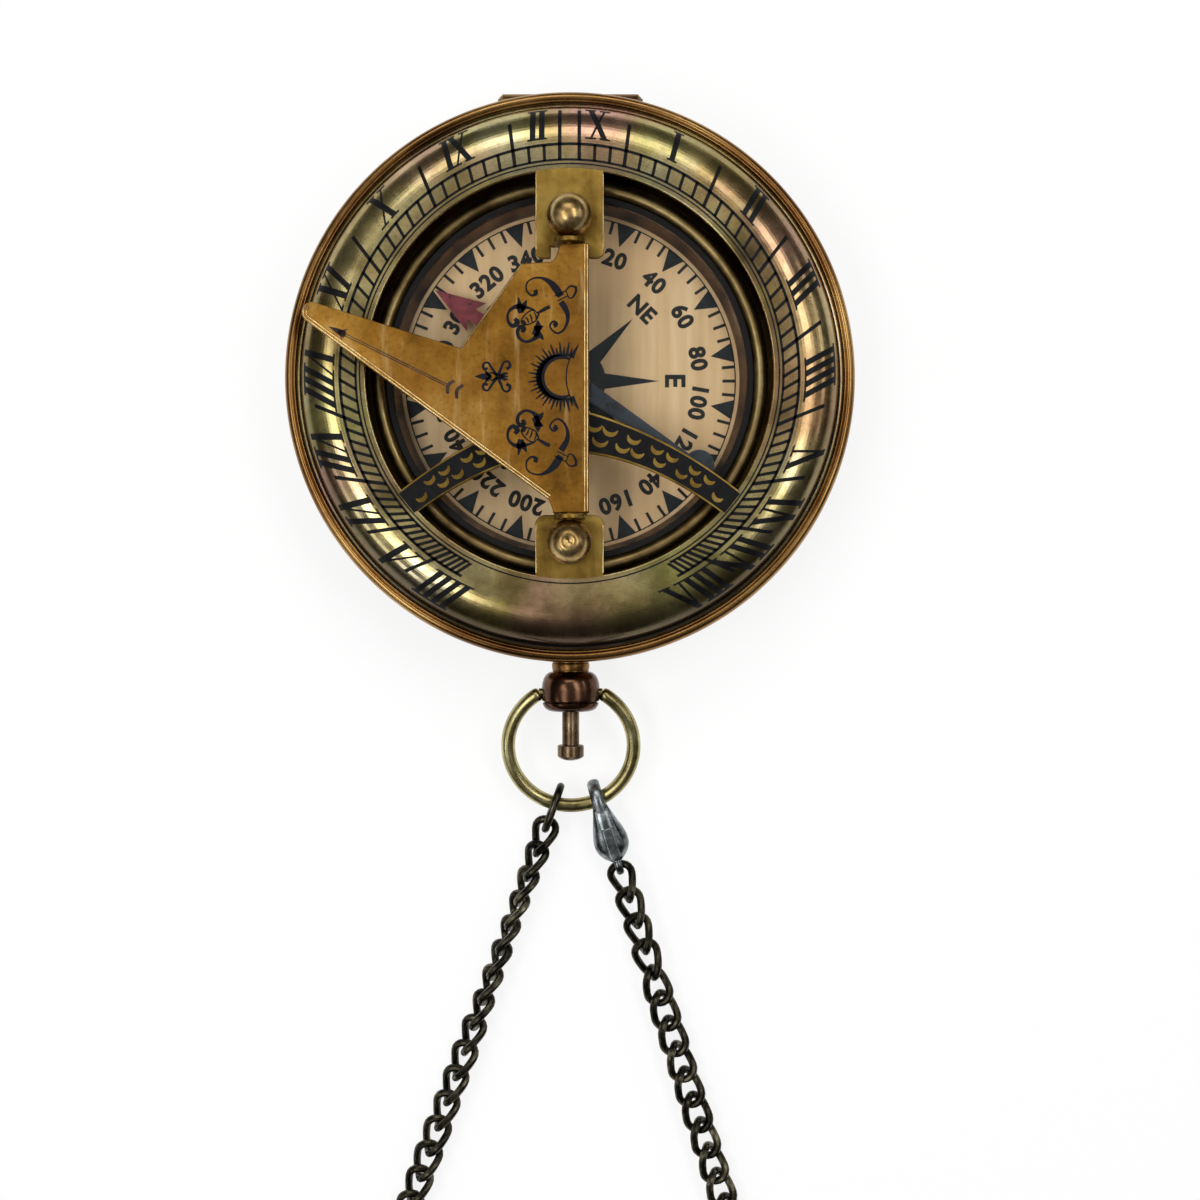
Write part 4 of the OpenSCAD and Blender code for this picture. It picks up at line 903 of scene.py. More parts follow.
def make_needle():
    """Flat needle with a broad arrowhead, a slim tail and a disc at its end."""
    head_y, disc_y = NEEDLE_R - 5.6, NEEDLE_R - 0.9
    outline = np.concatenate([
        [[0, NEEDLE_R], [1.9, head_y], [0.72, head_y + 0.6], [1.05, 1.4]],
        arc((0, 0), 1.9, 45, -45, 8),
        [[1.0, -2.2], [0.42, -disc_y + 1.7]],
        arc((0, -disc_y), 1.7, 76, -256, 36),
        [[-0.42, -disc_y + 1.7], [-1.0, -2.2]],
        arc((0, 0), 1.9, 225, 135, 8),
        [[-1.05, 1.4], [-0.72, head_y + 0.6], [-1.9, head_y]],
    ])
    a = math.radians(NEEDLE_BEARING)
    turn = np.array([[math.cos(a), -math.sin(a)], [math.sin(a), math.cos(a)]])
    hole = arc((0, 0), 0.9, 0, 350, 35)
    part = plate([outline @ turn, hole], NEEDLE_Z, NEEDLE_Z + NEEDLE_T, 0.05)
    solid("needle_arrow", part, "needle", "needle_paint", NEEDLE_PAINT, ["needle_blade"])
    cap = np.concatenate([
        [[0.4, NEEDLE_Z - 0.3], [0.875, NEEDLE_Z - 0.3], [0.875, NEEDLE_Z + NEEDLE_T],
         [1.5, NEEDLE_Z + NEEDLE_T]],
        arc((0.9, NEEDLE_Z + NEEDLE_T), 0.6, 0, 90, 8),
        [[0, NEEDLE_Z + NEEDLE_T + 0.6]],
    ])
    solid("needle_hub", lathe(cap, 64, False), "needle", "brass", BALL_BRASS, ["needle_cap"])


# ---------------------------------------------------------------- lid

def dome_height(x, y):
    """Height of the hour ring's top: flat, then a quarter ellipse outwards."""
    r = np.hypot(x, y)
    t = np.clip((r - FLAT_R) / DOME_W, 0, 1)
    return DOME_Z + DOME_H * np.sqrt(np.maximum(1 - t * t, 0))


def make_rim():
    """Rolled rim of the lid with a fine inner lip and a groove beside it."""
    r, top, inner = RIM_R, LID_Z + RIM_H, RIM_R - BEAD_W
    rim = np.concatenate([
        [[SKIRT_R + 0.15, LID_Z]],
        bend((r - 0.55, LID_Z), (r, LID_Z + 0.1), (r, LID_Z + 1), 10),
        bend((r, LID_Z + 1), (r, top), (r - 0.75, top), 14)[1:],
        [[r - 0.9, top - 0.05], [r - 0.98, top - 0.12], [r - 1.05, top - 0.06]],
        bend((r - 1.1, top), (inner, top + 0.02), (inner, top - 0.35), 8),
        [[inner, SEAT_Z], [SKIRT_R + 0.15, SEAT_Z]],
    ])
    solid("lid_rim_bead", lathe(rim, 300), "lid", "bronze", BRONZE, ["lid_rim"], sharp=50)


def tab_outline(end_y, sign, radius, notch=()):
    """Tab that reaches from the window's edge to end_y, with rounded corners and
    a notch between them."""
    w = TAB_W / 2
    root = sign * math.sqrt(PLATE_ROOT_R**2 - w * w)
    corner = end_y + sign * radius
    return np.concatenate([
        [[-w, root], [w, root]],
        arc((w - radius, corner), radius, 0, -90 * sign, 8),
        np.reshape(notch, (-1, 2)),
        arc((-w + radius, corner), radius, -90 * sign, -180 * sign, 8),
    ])


def arm_curves(inset=0.0):
    """Upper and lower edge of the right arm, from the centre to the window."""
    top_end, low_end = (
        PLATE_ROOT_R * np.array([math.cos(math.radians(a)), -math.sin(math.radians(a))])
        for a in (ARM_ANGLE, ARM_ANGLE + ARM_END)
    )
    upper = bend((0, -ARM_TOP_Y - inset), (top_end[0] * 0.55, -ARM_TOP_Y - 2.6 - inset),
                 top_end - [0, inset], 24)
    lower = bend((0, -ARM_TOP_Y - ARM_W + inset),
                 (low_end[0] * 0.5, -ARM_TOP_Y - ARM_W - 0.4 + inset), low_end + [0, inset], 24)
    return upper, lower


def make_hour_ring():
    """Stamped ring of a flat lip and a dome, one profile turned about the axis."""
    t = np.radians(np.linspace(90, 0, 26))
    outer = np.stack([FLAT_R + DOME_W * np.cos(t), DOME_Z + DOME_H * np.sin(t)], -1)
    t = np.radians(np.linspace(0, 90, 20))
    under = np.stack([FLAT_R + (DOME_W - SHEET_T) * np.cos(t),
                      SEAT_Z + (SHEET_Z - SEAT_Z) * np.sin(t)], -1)
    profile = np.concatenate([
        [[WINDOW_R, SHEET_Z + 0.05]], arc((WINDOW_R + 0.16, LIP_Z - 0.16), 0.16, 180, 90, 5),
        outer, [[RING_R, DOME_Z - 0.03], [RING_R, SEAT_Z]], under, [[WINDOW_R + 0.05, SHEET_Z]],
    ])
    solid("hour_ring_dome", lathe(profile, 360), "lid", "dial_brass", RING_BRASS,
          ["hour_ring"], sharp=50)


def make_tabs():
    """Upper and lower tab with the ears that carry the gnomon, and a raised line along the tabs'
    sides whose light colour is a painted highlight."""
    low, high, ear_y = SHEET_Z, LIP_Z - PLATE_DROP, EAR_TOP_Y - EAR_T
    # the slot opens at the upper tab's end, so it is part of that outline
    slot = [[SLOT_HALF, TAB_TOP_Y], [SLOT_HALF, ear_y], [-SLOT_HALF, ear_y],
            [-SLOT_HALF, TAB_TOP_Y]]
    upper = tab_outline(TAB_TOP_Y, 1, TAB_R * 0.7, slot)
    lower = tab_outline(-EAR_LOW_Y + EAR_T, -1, TAB_R)
    upper_hole = arc((0, EAR_TOP_Y + BALL_D / 2), 1.4, 0, 350, 35)
    lower_hole = arc((0, -EAR_LOW_Y - BALL_D / 2), 2.2, 0, 350, 35)
    tabs = [plate([upper, upper_hole], low, high, 0.13),
            plate([lower, lower_hole], low, high, 0.13)]
    ear = np.concatenate([[[-EAR_W / 2, 0], [EAR_W / 2, 0]],
                          arc((0, PIVOT_Z - SHEET_Z), EAR_W / 2, 0, 180, 24)])
    pivot_hole = arc((0, PIVOT_Z - SHEET_Z), 0.5, 0, 345, 23)
    for y in (ear_y, -EAR_LOW_Y):
        p, f = plate([ear, pivot_hole], 0, EAR_T, 0.06)
        tabs.append((np.stack([p[:, 0], y + p[:, 2], SHEET_Z + p[:, 1]], -1), f))
    solid("pivot_tabs", join(tabs), "lid", "dial_brass", TAB_BRASS)

    # raised lines along the tabs' sides, coloured light as a painted highlight on their edges
    root_y, wires = 21.8, []
    for side in (-1, 1):
        x = np.full(24, side * (TAB_W / 2 - 0.11))
        for y0, y1 in ((TAB_TOP_Y + 1.0, root_y), (-EAR_LOW_Y - 0.6, -root_y)):
            path = np.stack([x, np.linspace(y0, y1, 24), np.full(24, high - 0.03)], -1)
            wires.append(tube(path, [0, 0, 1], 0.1, sides=12))
    solid("tab_edge_highlight", join(wires), "lid", "dial_brass", HIGHLIGHT_EDGE_BRASS)


def make_arms():
    """Both arms as one plate that spans the window."""
    upper, lower = arm_curves()
    mirror = [-1, 1]
    outline = np.concatenate([upper[::-1], upper[1:] * mirror, (lower * mirror)[::-1], lower[1:]])
    solid("ring_arms", plate([outline], SHEET_Z, LIP_Z - PLATE_DROP, 0.12), "lid",
          "dial_brass", TAB_BRASS)


def walked(line):
    """Distance along a line at each of its points."""
    return np.concatenate([[0], np.cumsum(np.linalg.norm(np.diff(line, axis=0), axis=1))])


def arm_ground_edge(curve, n, side):
    """The n points of an arm's edge on one side, drawn in to the ring's lip."""
    s, given = np.linspace(0, 1, n), np.linspace(0, 1, len(curve))
    line = np.stack([np.interp(s, given, curve[:, k]) for k in (0, 1)], -1)
    length = np.maximum(np.hypot(line[:, :1], line[:, 1:]), 1e-9)
    return line * np.minimum(1, (WINDOW_R + 0.5) / length) * [side, 1]


def make_arm_scales():
    """Black ground of the arms with a thin bright border left, and two rows of
    small crescents standing out of it, smaller where the arm is narrower."""
    ground, crescents = [], []
    top = LIP_Z - PLATE_DROP
    curl = np.radians(np.linspace(-78, 78, 9))[:, None]
    upper, lower = arm_curves(ARM_BORDER)
    n = max(int((np.hypot(upper[:, 0], upper[:, 1]) < WINDOW_R - 0.1).sum()), 2)
    for side in (-1, 1):
        high, low = arm_ground_edge(upper, n, side), arm_ground_edge(lower, n, side)
        ground.append((high, low))
        middle = (high + low) / 2
        along, steps = unit(np.gradient(middle, axis=0)), walked(middle)
        # rows as the share of the arm's width and the distance of the first one
        for row, (share, start) in enumerate(((0.30, 2.9), (0.68, 4.1))):
            for d in np.arange(start, steps[-1] - 1.0, 2.35):
                i = int(np.interp(d, steps, np.arange(len(steps))))
                place = high[i] * (1 - share) + low[i] * share
                room = np.linalg.norm(high[i] - low[i])
                if room < 1.6 and row == 1:
                    continue
                t = along[min(i, len(along) - 1)]
                down = np.array([-t[1], t[0]])
                if down[1] > 0:
                    down = -down
                size = min(0.95, room * 0.24)
                arch = np.sin(curl) * t + np.cos(curl) * down
                line = place + size * 0.95 * arch - 0.55 * size * down
                crescents.append(stroke(line, [0.12, 0.42, 0.5, 0.42, 0.12], 14))
    solid("arm_ground", engraved_strokes(ground, top + INK_RISE), "lid", "dial_brass",
          BLACK_FILL)
    solid("arm_crescents", engraved_strokes(crescents, top + 0.05, 0.06), "lid", "dial_brass",
          TAB_BRASS)


# ---------------------------------------------------------------- hour scale

def ray_point(side, phi, offset, radius):
    """Point at a radius on the line parallel to the hour ray phi of one side,
    offset sideways: t solves |foot + t d| = radius."""
    d = np.stack([np.sin(phi), np.cos(phi)], -1)
    n = np.stack([np.cos(phi), -np.sin(phi)], -1)
    foot = np.array([side * SCALE_X, SCALE_Y]) + offset[..., None] * n
    dot = (foot * d).sum(-1)
    t = -dot + np.sqrt(np.maximum(dot**2 - (foot**2).sum(-1) + radius**2, 0))
    return foot + t[..., None] * d


GLYPHS = {
    # strokes as (foot x, head x, thick or thin), then the places of the serifs
    "I": ([(0, 0, 0.62)], [(0, 0), (0, 1)], 1.0),
    "V": ([(0.02, -0.75, 0.64), (0.02, 0.8, 0.26)], [(-0.75, 1), (0.8, 1)], 2.1),
    "X": ([(0.8, -0.75, 0.66), (-0.8, 0.8, 0.26)],
          [(-0.75, 1), (0.8, 1), (-0.8, 0), (0.8, 0)], 2.1),
}


def numeral_strokes(text):
    """Strokes of a Roman numeral as (foot, head, width) and serifs, centred."""
    widths = [GLYPHS[c][2] for c in text]
    x = -sum(widths) / 2
    strokes, serifs = [], []
    for c, w in zip(text, widths):
        x += w / 2
        strokes += [(x + a, x + b, t) for a, b, t in GLYPHS[c][0]]
        serifs += [(x + a, v) for a, v in GLYPHS[c][1]]
        x += w / 2
    return strokes, serifs


HOURS = [
    ("I", 25.0), ("II", 47.6), ("III", 68.8), ("IIII", 89.4), ("V", 109.0), ("VI", 123.4),
    ("VII", 136.2), ("VIII", 149.0), ("XI", -27.0), ("X", -48.2), ("IX", -69.7),
    ("VIII", -90.3), ("VII", -107.8), ("VI", -123.3), ("V", -136.5), ("IIII", -149.3),
    ("II", -7.4), ("X", 6.5),
]


def fill_top(x, y):
    """Height of the black fill, a hair above the hour ring."""
    return dome_height(x, y) + INK_RISE


def ring_line(inner, outer, end, nu=3):
    """Filled circle line between two radii, from -end to end degrees."""
    corners = [[[-end, inner], [-end, outer], [end, outer], [end, inner]]]
    return inlay(corners, fill_top, 0.04, nu, 361, polar)


def hour_ticks(side):
    """Ticks of one side of noon, every tenth minute: noon and the half hours
    are longer."""
    hours = np.arange(0, 126, 2.5)
    phi = np.radians(hours) * side
    middle = ray_point(side, phi, 0 * phi, np.full(len(phi), 24.3))
    seen = np.abs(np.degrees(np.arctan2(middle[:, 0], middle[:, 1]))) < SCALE_END + 0.5
    phi, hours = phi[seen], hours[seen]
    noon, half_hour = hours == 0, np.isclose(hours % 15, 7.5)
    head = np.where(noon, NOON_HEAD, np.where(half_hour, HALF_HOUR_HEAD, TICK_HEAD))
    half = np.where(half_hour | noon, 0.2, 0.17)
    foot = np.full(len(phi), TICK_FOOT)
    corners = [ray_point(side, phi, u, r)
               for u, r in ((-half, foot), (half, foot), (half, head), (-half, head))]
    return inlay(np.stack(corners, 1), fill_top, 0.04, 3, 18)


def hour_numeral(text, bearing):
    """Strokes and serifs of one numeral along the hour ray through its middle;
    close to noon it lies parallel to the noon line instead."""
    side = 1 if bearing > 0 else -1
    a = math.radians(bearing)
    x, y = NUMERAL_MIDDLE * np.array([math.sin(a), math.cos(a)]) - [side * SCALE_X, SCALE_Y]
    by_noon = abs(bearing) <= 10
    phi = 0.0 if by_noon else math.atan2(x, y)
    shift = NUMERAL_MIDDLE * math.sin(a) - side * SCALE_X if by_noon else 0.0

    def corner(u, v):
        """Point at u across the numeral and v from its foot to its head."""
        radius = NUMERAL_FOOT + (NUMERAL_HEAD - NUMERAL_FOOT) * v
        return ray_point(side, np.full(u.shape, phi), shift - u, radius)

    strokes, serifs = (np.array(rows, float) for rows in numeral_strokes(text))
    foot, head, half = strokes[:, 0], strokes[:, 1], strokes[:, 2] / 2
    one, zero = np.ones(len(strokes)), np.zeros(len(strokes))
    bars = np.stack([corner(foot + half, zero), corner(foot - half, zero),
                     corner(head - half, one), corner(head + half, one)], 1)
    u, at_head = serifs[:, 0], serifs[:, 1] > 0.5
    v0, v1 = np.where(at_head, 1.0, 0.0), np.where(at_head, 0.945, 0.055)
    feet = np.stack([corner(u + 0.58, v0), corner(u - 0.58, v0),
                     corner(u - 0.58, v1), corner(u + 0.58, v1)], 1)
    return [inlay(bars, fill_top, 0.04, 3, 16), inlay(feet, fill_top, 0.04, 7, 3)]


def make_hour_scale():
    """Black-filled lines, ticks and numerals of the hour ring. Ticks and strokes
    lie on straight rays, so they slant more towards the evening hours. The
    numerals stand with their feet outwards."""
    parts = [ring_line(r - w / 2, r + w / 2, end) for r, w, end in SCALE_LINES]
    parts.append(ring_line(29.78, 30.1, 180, 5))
    parts += [hour_ticks(-1), hour_ticks(1)]
    for text, bearing in HOURS:
        parts += hour_numeral(text, bearing)
    solid("hour_scale_fill", join(parts), "lid", "dial_brass", BLACK_FILL, merge=False)


# ---------------------------------------------------------------- gnomon

def gnomon_corners():
    """Centre of the rounded tip, low corner, shoulder and crook of the gnomon."""
    return (np.array([-GNOMON_REACH + GNOMON_TIP_R, GNOMON_TIP_Y]),
            np.array([-2.3, STUB_LOW + 1.5]),
            np.array([-5.2, STUB_TOP - 2.2]),
            np.array([-GNOMON_REACH * 0.408, 2.4]))


def gnomon_outline():
    """Outline of the folding gnomon: foot along the axis, long pointed arm."""
    tip, low, shoulder, crook = gnomon_corners()
    style = math.degrees(math.atan2(tip[1] - low[1], low[0] - tip[0]))
    bent = math.degrees(math.atan2(tip[1] - crook[1], crook[0] - tip[0]))
    return np.concatenate([
        [[FOOT_W, STUB_LOW], [FOOT_W, STUB_TOP], [-0.7, STUB_TOP]],
        bend((-1.1, STUB_TOP - 0.3), (-1.3, STUB_TOP - 2), (-2.2, STUB_TOP - 2.05), 8),
        [shoulder, crook],
        arc(tip, GNOMON_TIP_R, 90 - bent, 270 - style, 16),
        bend(low, (-1.9, STUB_LOW + 0.9), (-1.7, STUB_LOW), 8),
    ])


def make_gnomon():
    """Gnomon plate with trunnions, and the two balls that hold them, the lower
    one with a worn dimple on top."""
    low, high = PIVOT_Z - GNOMON_T / 2, PIVOT_Z + GNOMON_T / 2
    parts = [plate([gnomon_outline()], low, high, 0.16)]
    for y0, y1 in ((STUB_TOP - 0.2, 16.1), (STUB_LOW + 0.2, -17.75)):
        y = np.linspace(y0, y1, 4)
        path = np.stack([0 * y, y, 0 * y + PIVOT_Z], -1)
        parts.append(tube(path, [1, 0, 0], TRUNNION_R, sides=20))
    solid("gnomon_plate", join(parts), "gnomon", "gilt", GNOMON_COPPER, ["gnomon"])
    r = BALL_D / 2
    t = np.linspace(-math.pi / 2, math.pi / 2, 40)
    radius = r * np.cos(t)
    for name, node, y, dimple in (
        ("upper_ball", "pivot_ball_upper", EAR_TOP_Y + SEAT_GAP + r, 0.0),
        ("lower_ball", "pivot_ball_lower", -EAR_LOW_Y - SEAT_GAP - r, 0.35),
    ):
        height = r * np.sin(t) - np.where(t > 0, dimple * np.exp(-((radius / 0.55) ** 2)), 0)
        p, f = lathe(np.stack([radius, height], -1), 72, False)
        solid(name, (p + [0, y, PIVOT_Z], f), "gnomon", "brass", BALL_BRASS, [node])


def marks_at(rows, x, y, flip=1):
    """Pen strokes given in tenths of a millimetre, set at (x, y) and mirrored
    top to bottom where flip is -1."""
    return [(np.array(points) * [0.1, 0.1 * flip] + [x, y], widths) for points, widths in rows]


CRESCENT_MOTIF = [
    # crescent: upper horn with its curl, then the lower one
    ([(-8, 20), (-7, 16), (-12, 14), (-17, 19), (-17, 27), (-11, 32), (-2, 33), (7, 29),
      (14, 22), (20, 13)],
     [0.5, 0.45, 0.24, 0.2, 0.18, 0.18, 0.24, 0.56, 0.84, 0.76]),
    ([(20, 7), (24, 1), (27, -6), (27, -14), (23, -23), (16, -27), (10, -23), (8, -18),
      (12, -14), (15, -17), (12, -19)],
     [0.68, 0.66, 0.5, 0.34, 0.26, 0.22, 0.2, 0.2, 0.26, 0.46, 0.5]),
    # cross-bar, pommel and blade of the dagger
    ([(13, 13), (19, 16), (25, 19)], [0.14, 0.14, 0.14]),
    ([(16, 8), (22, 11), (28, 14)], [0.14, 0.14, 0.14]),
    ([(25, 19), (30, 24), (36, 23)], [0.14, 0.2, 0.26]),
    ([(36, 24), (36, 18), (33, 12)], [0.26, 0.3, 0.22]),
    ([(33, 12), (29, 11), (27, 15), (25, 20)], [0.2, 0.14, 0.12, 0.12]),
    ([(8, 2), (2, -1), (-5, -5)], [0.4, 0.4, 0.26]),
    # striped bud
    ([(-4, -6), (-11, -2), (-19, -7), (-23, -14), (-20, -18)], [0.14, 0.16, 0.16, 0.16, 0.16]),
    ([(-20, -18), (-14, -17), (-7, -13), (-4, -6)], [0.16, 0.16, 0.16, 0.2]),
    ([(-9, -4), (-7, -8), (-7, -12)], [0.12, 0.18, 0.12]),
    ([(-14, -6), (-12, -10), (-11, -15)], [0.12, 0.2, 0.12]),
    ([(-18, -9), (-16, -12), (-15, -16)], [0.12, 0.2, 0.12]),
    ([(-22, -13), (-20, -15), (-18, -17)], [0.3, 0.36, 0.2]),
    # leaves and curls at the point
    ([(-26, 12), (-25, 6), (-24, 1), (-23, -5)], [0.14, 0.42, 0.85, 0.6]),
    ([(-17, 9), (-19, 5), (-22, 0)], [0.1, 0.45, 0.7]),
    ([(-8, -2), (-17, 1), (-23, 0)], [0.14, 0.34, 0.8]),
    ([(-23, 3), (-31, 1), (-37, -5), (-37, -14), (-32, -19), (-27, -15), (-30, -11)],
     [0.6, 0.4, 0.26, 0.34, 0.46, 0.6, 0.4]),
    ([(-5, -13), (-5, -20), (-8, -29)], [0.16, 0.8, 0.75]),
    ([(-8, -23), (-3, -21), (1, -19)], [0.8, 0.55, 0.12]),
    ([(-7, -26), (-2, -30), (1, -34)], [0.9, 0.55, 0.12]),
    ([(-6, -30), (-11, -34), (-18, -36), (-25, -32), (-27, -25), (-24, -20), (-20, -22),
      (-22, -26)], [0.6, 0.36, 0.3, 0.36, 0.4, 0.5, 0.55, 0.4]),
]

FLEURON_CURLS = [
    ([(-1, 1), (2, 8), (5, 15), (10, 16), (12, 11), (8, 8)], [0.4, 0.3, 0.22, 0.24, 0.36, 0.36]),
    ([(-2, 1), (-7, 8), (-12, 15), (-17, 13), (-16, 8), (-12, 9)],
     [0.36, 0.28, 0.22, 0.24, 0.3, 0.3]),
    ([(-2, 1), (-7, 4), (-10, 3)], [0.22, 0.2, 0.14]),
    ([(2, 1), (6, 3), (10, 3)], [0.34, 0.34, 0.1]),
    ([(-9, 0), (-13, 4), (-15, 7)], [0.3, 0.36, 0.08]),
]
FLEURON_STEM = [
    ([(-8, 0), (-13, 0), (-19, 0), (-26, 0)], [0.3, 0.8, 0.6, 0.05]),
    ([(-4, 0), (2, 0), (10, 0)], [0.34, 0.44, 0.14]),
]


def sun_marks(cx, cy):
    """Rising sun open to the right: a black crescent about its disc, long and
    short rays every 7.7 degrees, and a thin hollow line for the horizon."""
    a = np.radians(np.linspace(68, 292, 25))
    thick = 0.1 + 0.36 * np.sin((a - a[0]) * math.pi / (a[-1] - a[0]))
    rim = np.stack([cx + (1.98 + thick) * np.cos(a), cy + (1.98 + thick) * np.sin(a)], -1)
    marks = [(rim, (2 * thick).tolist())]
    for i in range(31):
        a = math.radians(64 + 7.75 * i)
        tip = 3.78 if i % 2 == 0 else 3.3
        ray = np.outer([2.3, 3.0, tip], [math.cos(a), math.sin(a)]) + [cx, cy]
        marks.append((ray, [0.42, 0.24, 0.12] if i % 2 == 0 else [0.36, 0.18, 0.08]))
    a = np.radians(np.linspace(-42, 42, 9))
    line = np.stack([cx + 5.7 - 5.33 * np.cos(a), cy + 5.33 * np.sin(a)], -1)
    marks.append((line, [0.08, 0.14, 0.14, 0.16, 0.14, 0.14, 0.08]))
    return marks


def arrow_marks():
    """Arrow along the long arm: a double line, a barbed head and two chevrons."""
    head, nock = np.array([-24.6, 4.05]), np.array([-13.3, -1.56])
    along = unit(nock - head)
    side = np.array([-along[1], along[0]])
    marks = []
    for k in (-0.11, 0.11):
        line = [head + k * side, (head + nock) / 2 + k * side, nock + k * side]
        marks.append((np.array(line), [0.1, 0.12, 0.12]))
    for back in (0.25, 1.35):
        tip = nock + back * along
        ends = tip + 0.35 * along
        chevron = np.array([ends + 0.8 * side, tip, ends - 0.8 * side])
        marks.append((chevron, [0.34, 0.42, 0.34]))
    barb = np.array([head + 0.5 * along, head - 0.4 * along, head - 1.5 * along])
    marks.append((barb, [0.75, 0.6, 0.05]))
    for k in (-1, 1):
        barb = np.array([head - 0.3 * along, head + 0.4 * along + k * 0.6 * side])
        marks.append((barb, [0.2, 0.12]))
    return marks


def make_ornaments():
    """Black-filled engraving of the gnomon: sun, two crescents, fleuron and arrow."""
    z = PIVOT_Z + GNOMON_T / 2 + INK_RISE
    marks = sun_marks(-0.68, -0.75)
    marks += marks_at(CRESCENT_MOTIF, -2.87, 6.68) + marks_at(CRESCENT_MOTIF, -2.87, -7.95, -1)
    for flip in (1, -1):
        marks += marks_at(FLEURON_CURLS, -7.57, -0.67, flip)
    marks += marks_at(FLEURON_STEM, -7.57, -0.67)
    strokes = [stroke(points, widths, 30) for points, widths in marks]
    solid("gnomon_engraving", engraved_strokes(strokes, z), "gnomon", "gilt", INK_FILL)
    arrow = [stroke(points, widths, 24) for points, widths in arrow_marks()]
    solid("gnomon_arrow", engraved_strokes(arrow, z), "gnomon", "gilt", FADED_FILL)


def make_burnish():
    """Double line along the gnomon's lower and right edges, and one from shoulder to crook: wires
    that stand out of the plate by a hair, their light colour a painted highlight."""
    z = PIVOT_Z + GNOMON_T / 2 + INK_RISE
    tip, low, shoulder, crook = gnomon_corners()
    square = np.array([[0, 1], [-1, 0]])
    inward, across = unit(low - tip) @ square, unit(crook - shoulder) @ square
    lines = []
    for inset in (0.17, 0.47):
        round_end = arc(tip, GNOMON_TIP_R - inset, 120, 231, 10)
        lines.append((np.concatenate([round_end, [low + inset * inward]]), 0.11))
        x = FOOT_W - inset
        lines.append((np.array([[x, STUB_LOW + 0.2], [x, STUB_TOP - 0.2]]), 0.1))
    lines.append((np.array([shoulder + 0.14 * across, crook + 0.14 * across]), 0.1))
    wires = []
    for line, radius in lines:
        length = walked(line)
        at = np.linspace(0, length[-1], 80)
        path = np.stack([np.interp(at, length, line[:, 0]), np.interp(at, length, line[:, 1]),
                         np.full(80, z - 0.045)], -1)
        wires.append(tube(path, [0, 0, 1], radius, sides=12))
    # the wires are real raised lines; their light colour is a painted highlight on the edges
    solid("gnomon_edge_highlight", join(wires), "gnomon", "gilt", HIGHLIGHT_EDGE_BRASS)


# ---------------------------------------------------------------- clasp

def clasp_frame(points):
    """Clasp coordinates (along, up, across) to the object's: nose on the bow,
    heading down the right lead."""
    lean = math.radians(RIGHT_LEAN)
    along = np.array([math.sin(lean), -math.cos(lean), 0])
    across = np.array([-math.cos(lean), -math.sin(lean), 0])
    wire = wire_at(RIGHT_X)
    origin = np.array([wire[0], wire[1], CLASP_Z]) - CLASP_HOLE_U * along
    p = np.asarray(points)
    return origin + p[:, :1] * along + p[:, 1:2] * [0, 0, 1] + p[:, 2:] * across


def loft(stations, rings=60, sides=40):
    """Closed body of superellipse sections: each station gives its place along,
    its lowest and highest point and its half width."""
    st = np.asarray(stations, float)
    k = np.arange(len(st))
    u, low, high, w = (
        smooth_line(np.stack([k, st[:, i]], -1), rings)[:, 1][:, None] for i in range(4)
    )
    a = np.linspace(0, 2 * math.pi, sides, endpoint=False)[None]
    c, s = np.cos(a), np.sin(a)
    v = (low + high) / 2 + (high - low) / 2 * np.sign(s) * np.abs(s) ** 0.85
    x = w * np.sign(c) * np.abs(c) ** 0.85
    points = np.stack([np.broadcast_to(u, v.shape), v, x], -1)
    first, last = (end.mean(1, keepdims=True).repeat(sides, 1) for end in (points[:1], points[-1:]))
    points = np.concatenate([first, points, last])
    return points.reshape(-1, 3), grid_faces(rings + 2, sides, False, True)


def cast(parts, voxel, rounds, cutters=()):
    """One skin over overlapping parts in clasp coordinates: remeshed, relaxed,
    cut, then moved to the clasp's place."""
    temp = bpy.data.objects.new("temp", make_mesh("temp", *join(parts)))
    bpy.context.scene.collection.objects.link(temp)
    remesh = temp.modifiers.new("remesh", "REMESH")
    remesh.mode = "VOXEL"
    remesh.voxel_size = voxel * MM
    smooth = temp.modifiers.new("smooth", "SMOOTH")
    smooth.factor = 0.5
    smooth.iterations = rounds
    tools = []
    for part in cutters:
        tool = bpy.data.objects.new("cutter", make_mesh("cutter", *part))
        bpy.context.scene.collection.objects.link(tool)
        cut = temp.modifiers.new("cut", "BOOLEAN")
        cut.operation = "DIFFERENCE"
        cut.solver = "EXACT"
        cut.object = tool
        tools.append(tool)
    result = bpy.data.meshes.new_from_object(
        temp.evaluated_get(bpy.context.evaluated_depsgraph_get())
    )
    for obj in [temp, *tools]:
        bpy.data.objects.remove(obj)
    co = np.empty(3 * len(result.vertices))
    result.vertices.foreach_get("co", co)
    result.vertices.foreach_set("co", (clasp_frame(co.reshape(-1, 3) / MM) * MM).ravel())
    result.materials.clear()
    result.shade_smooth()
    result.set_sharp_from_angle(angle=math.radians(50))
    return result


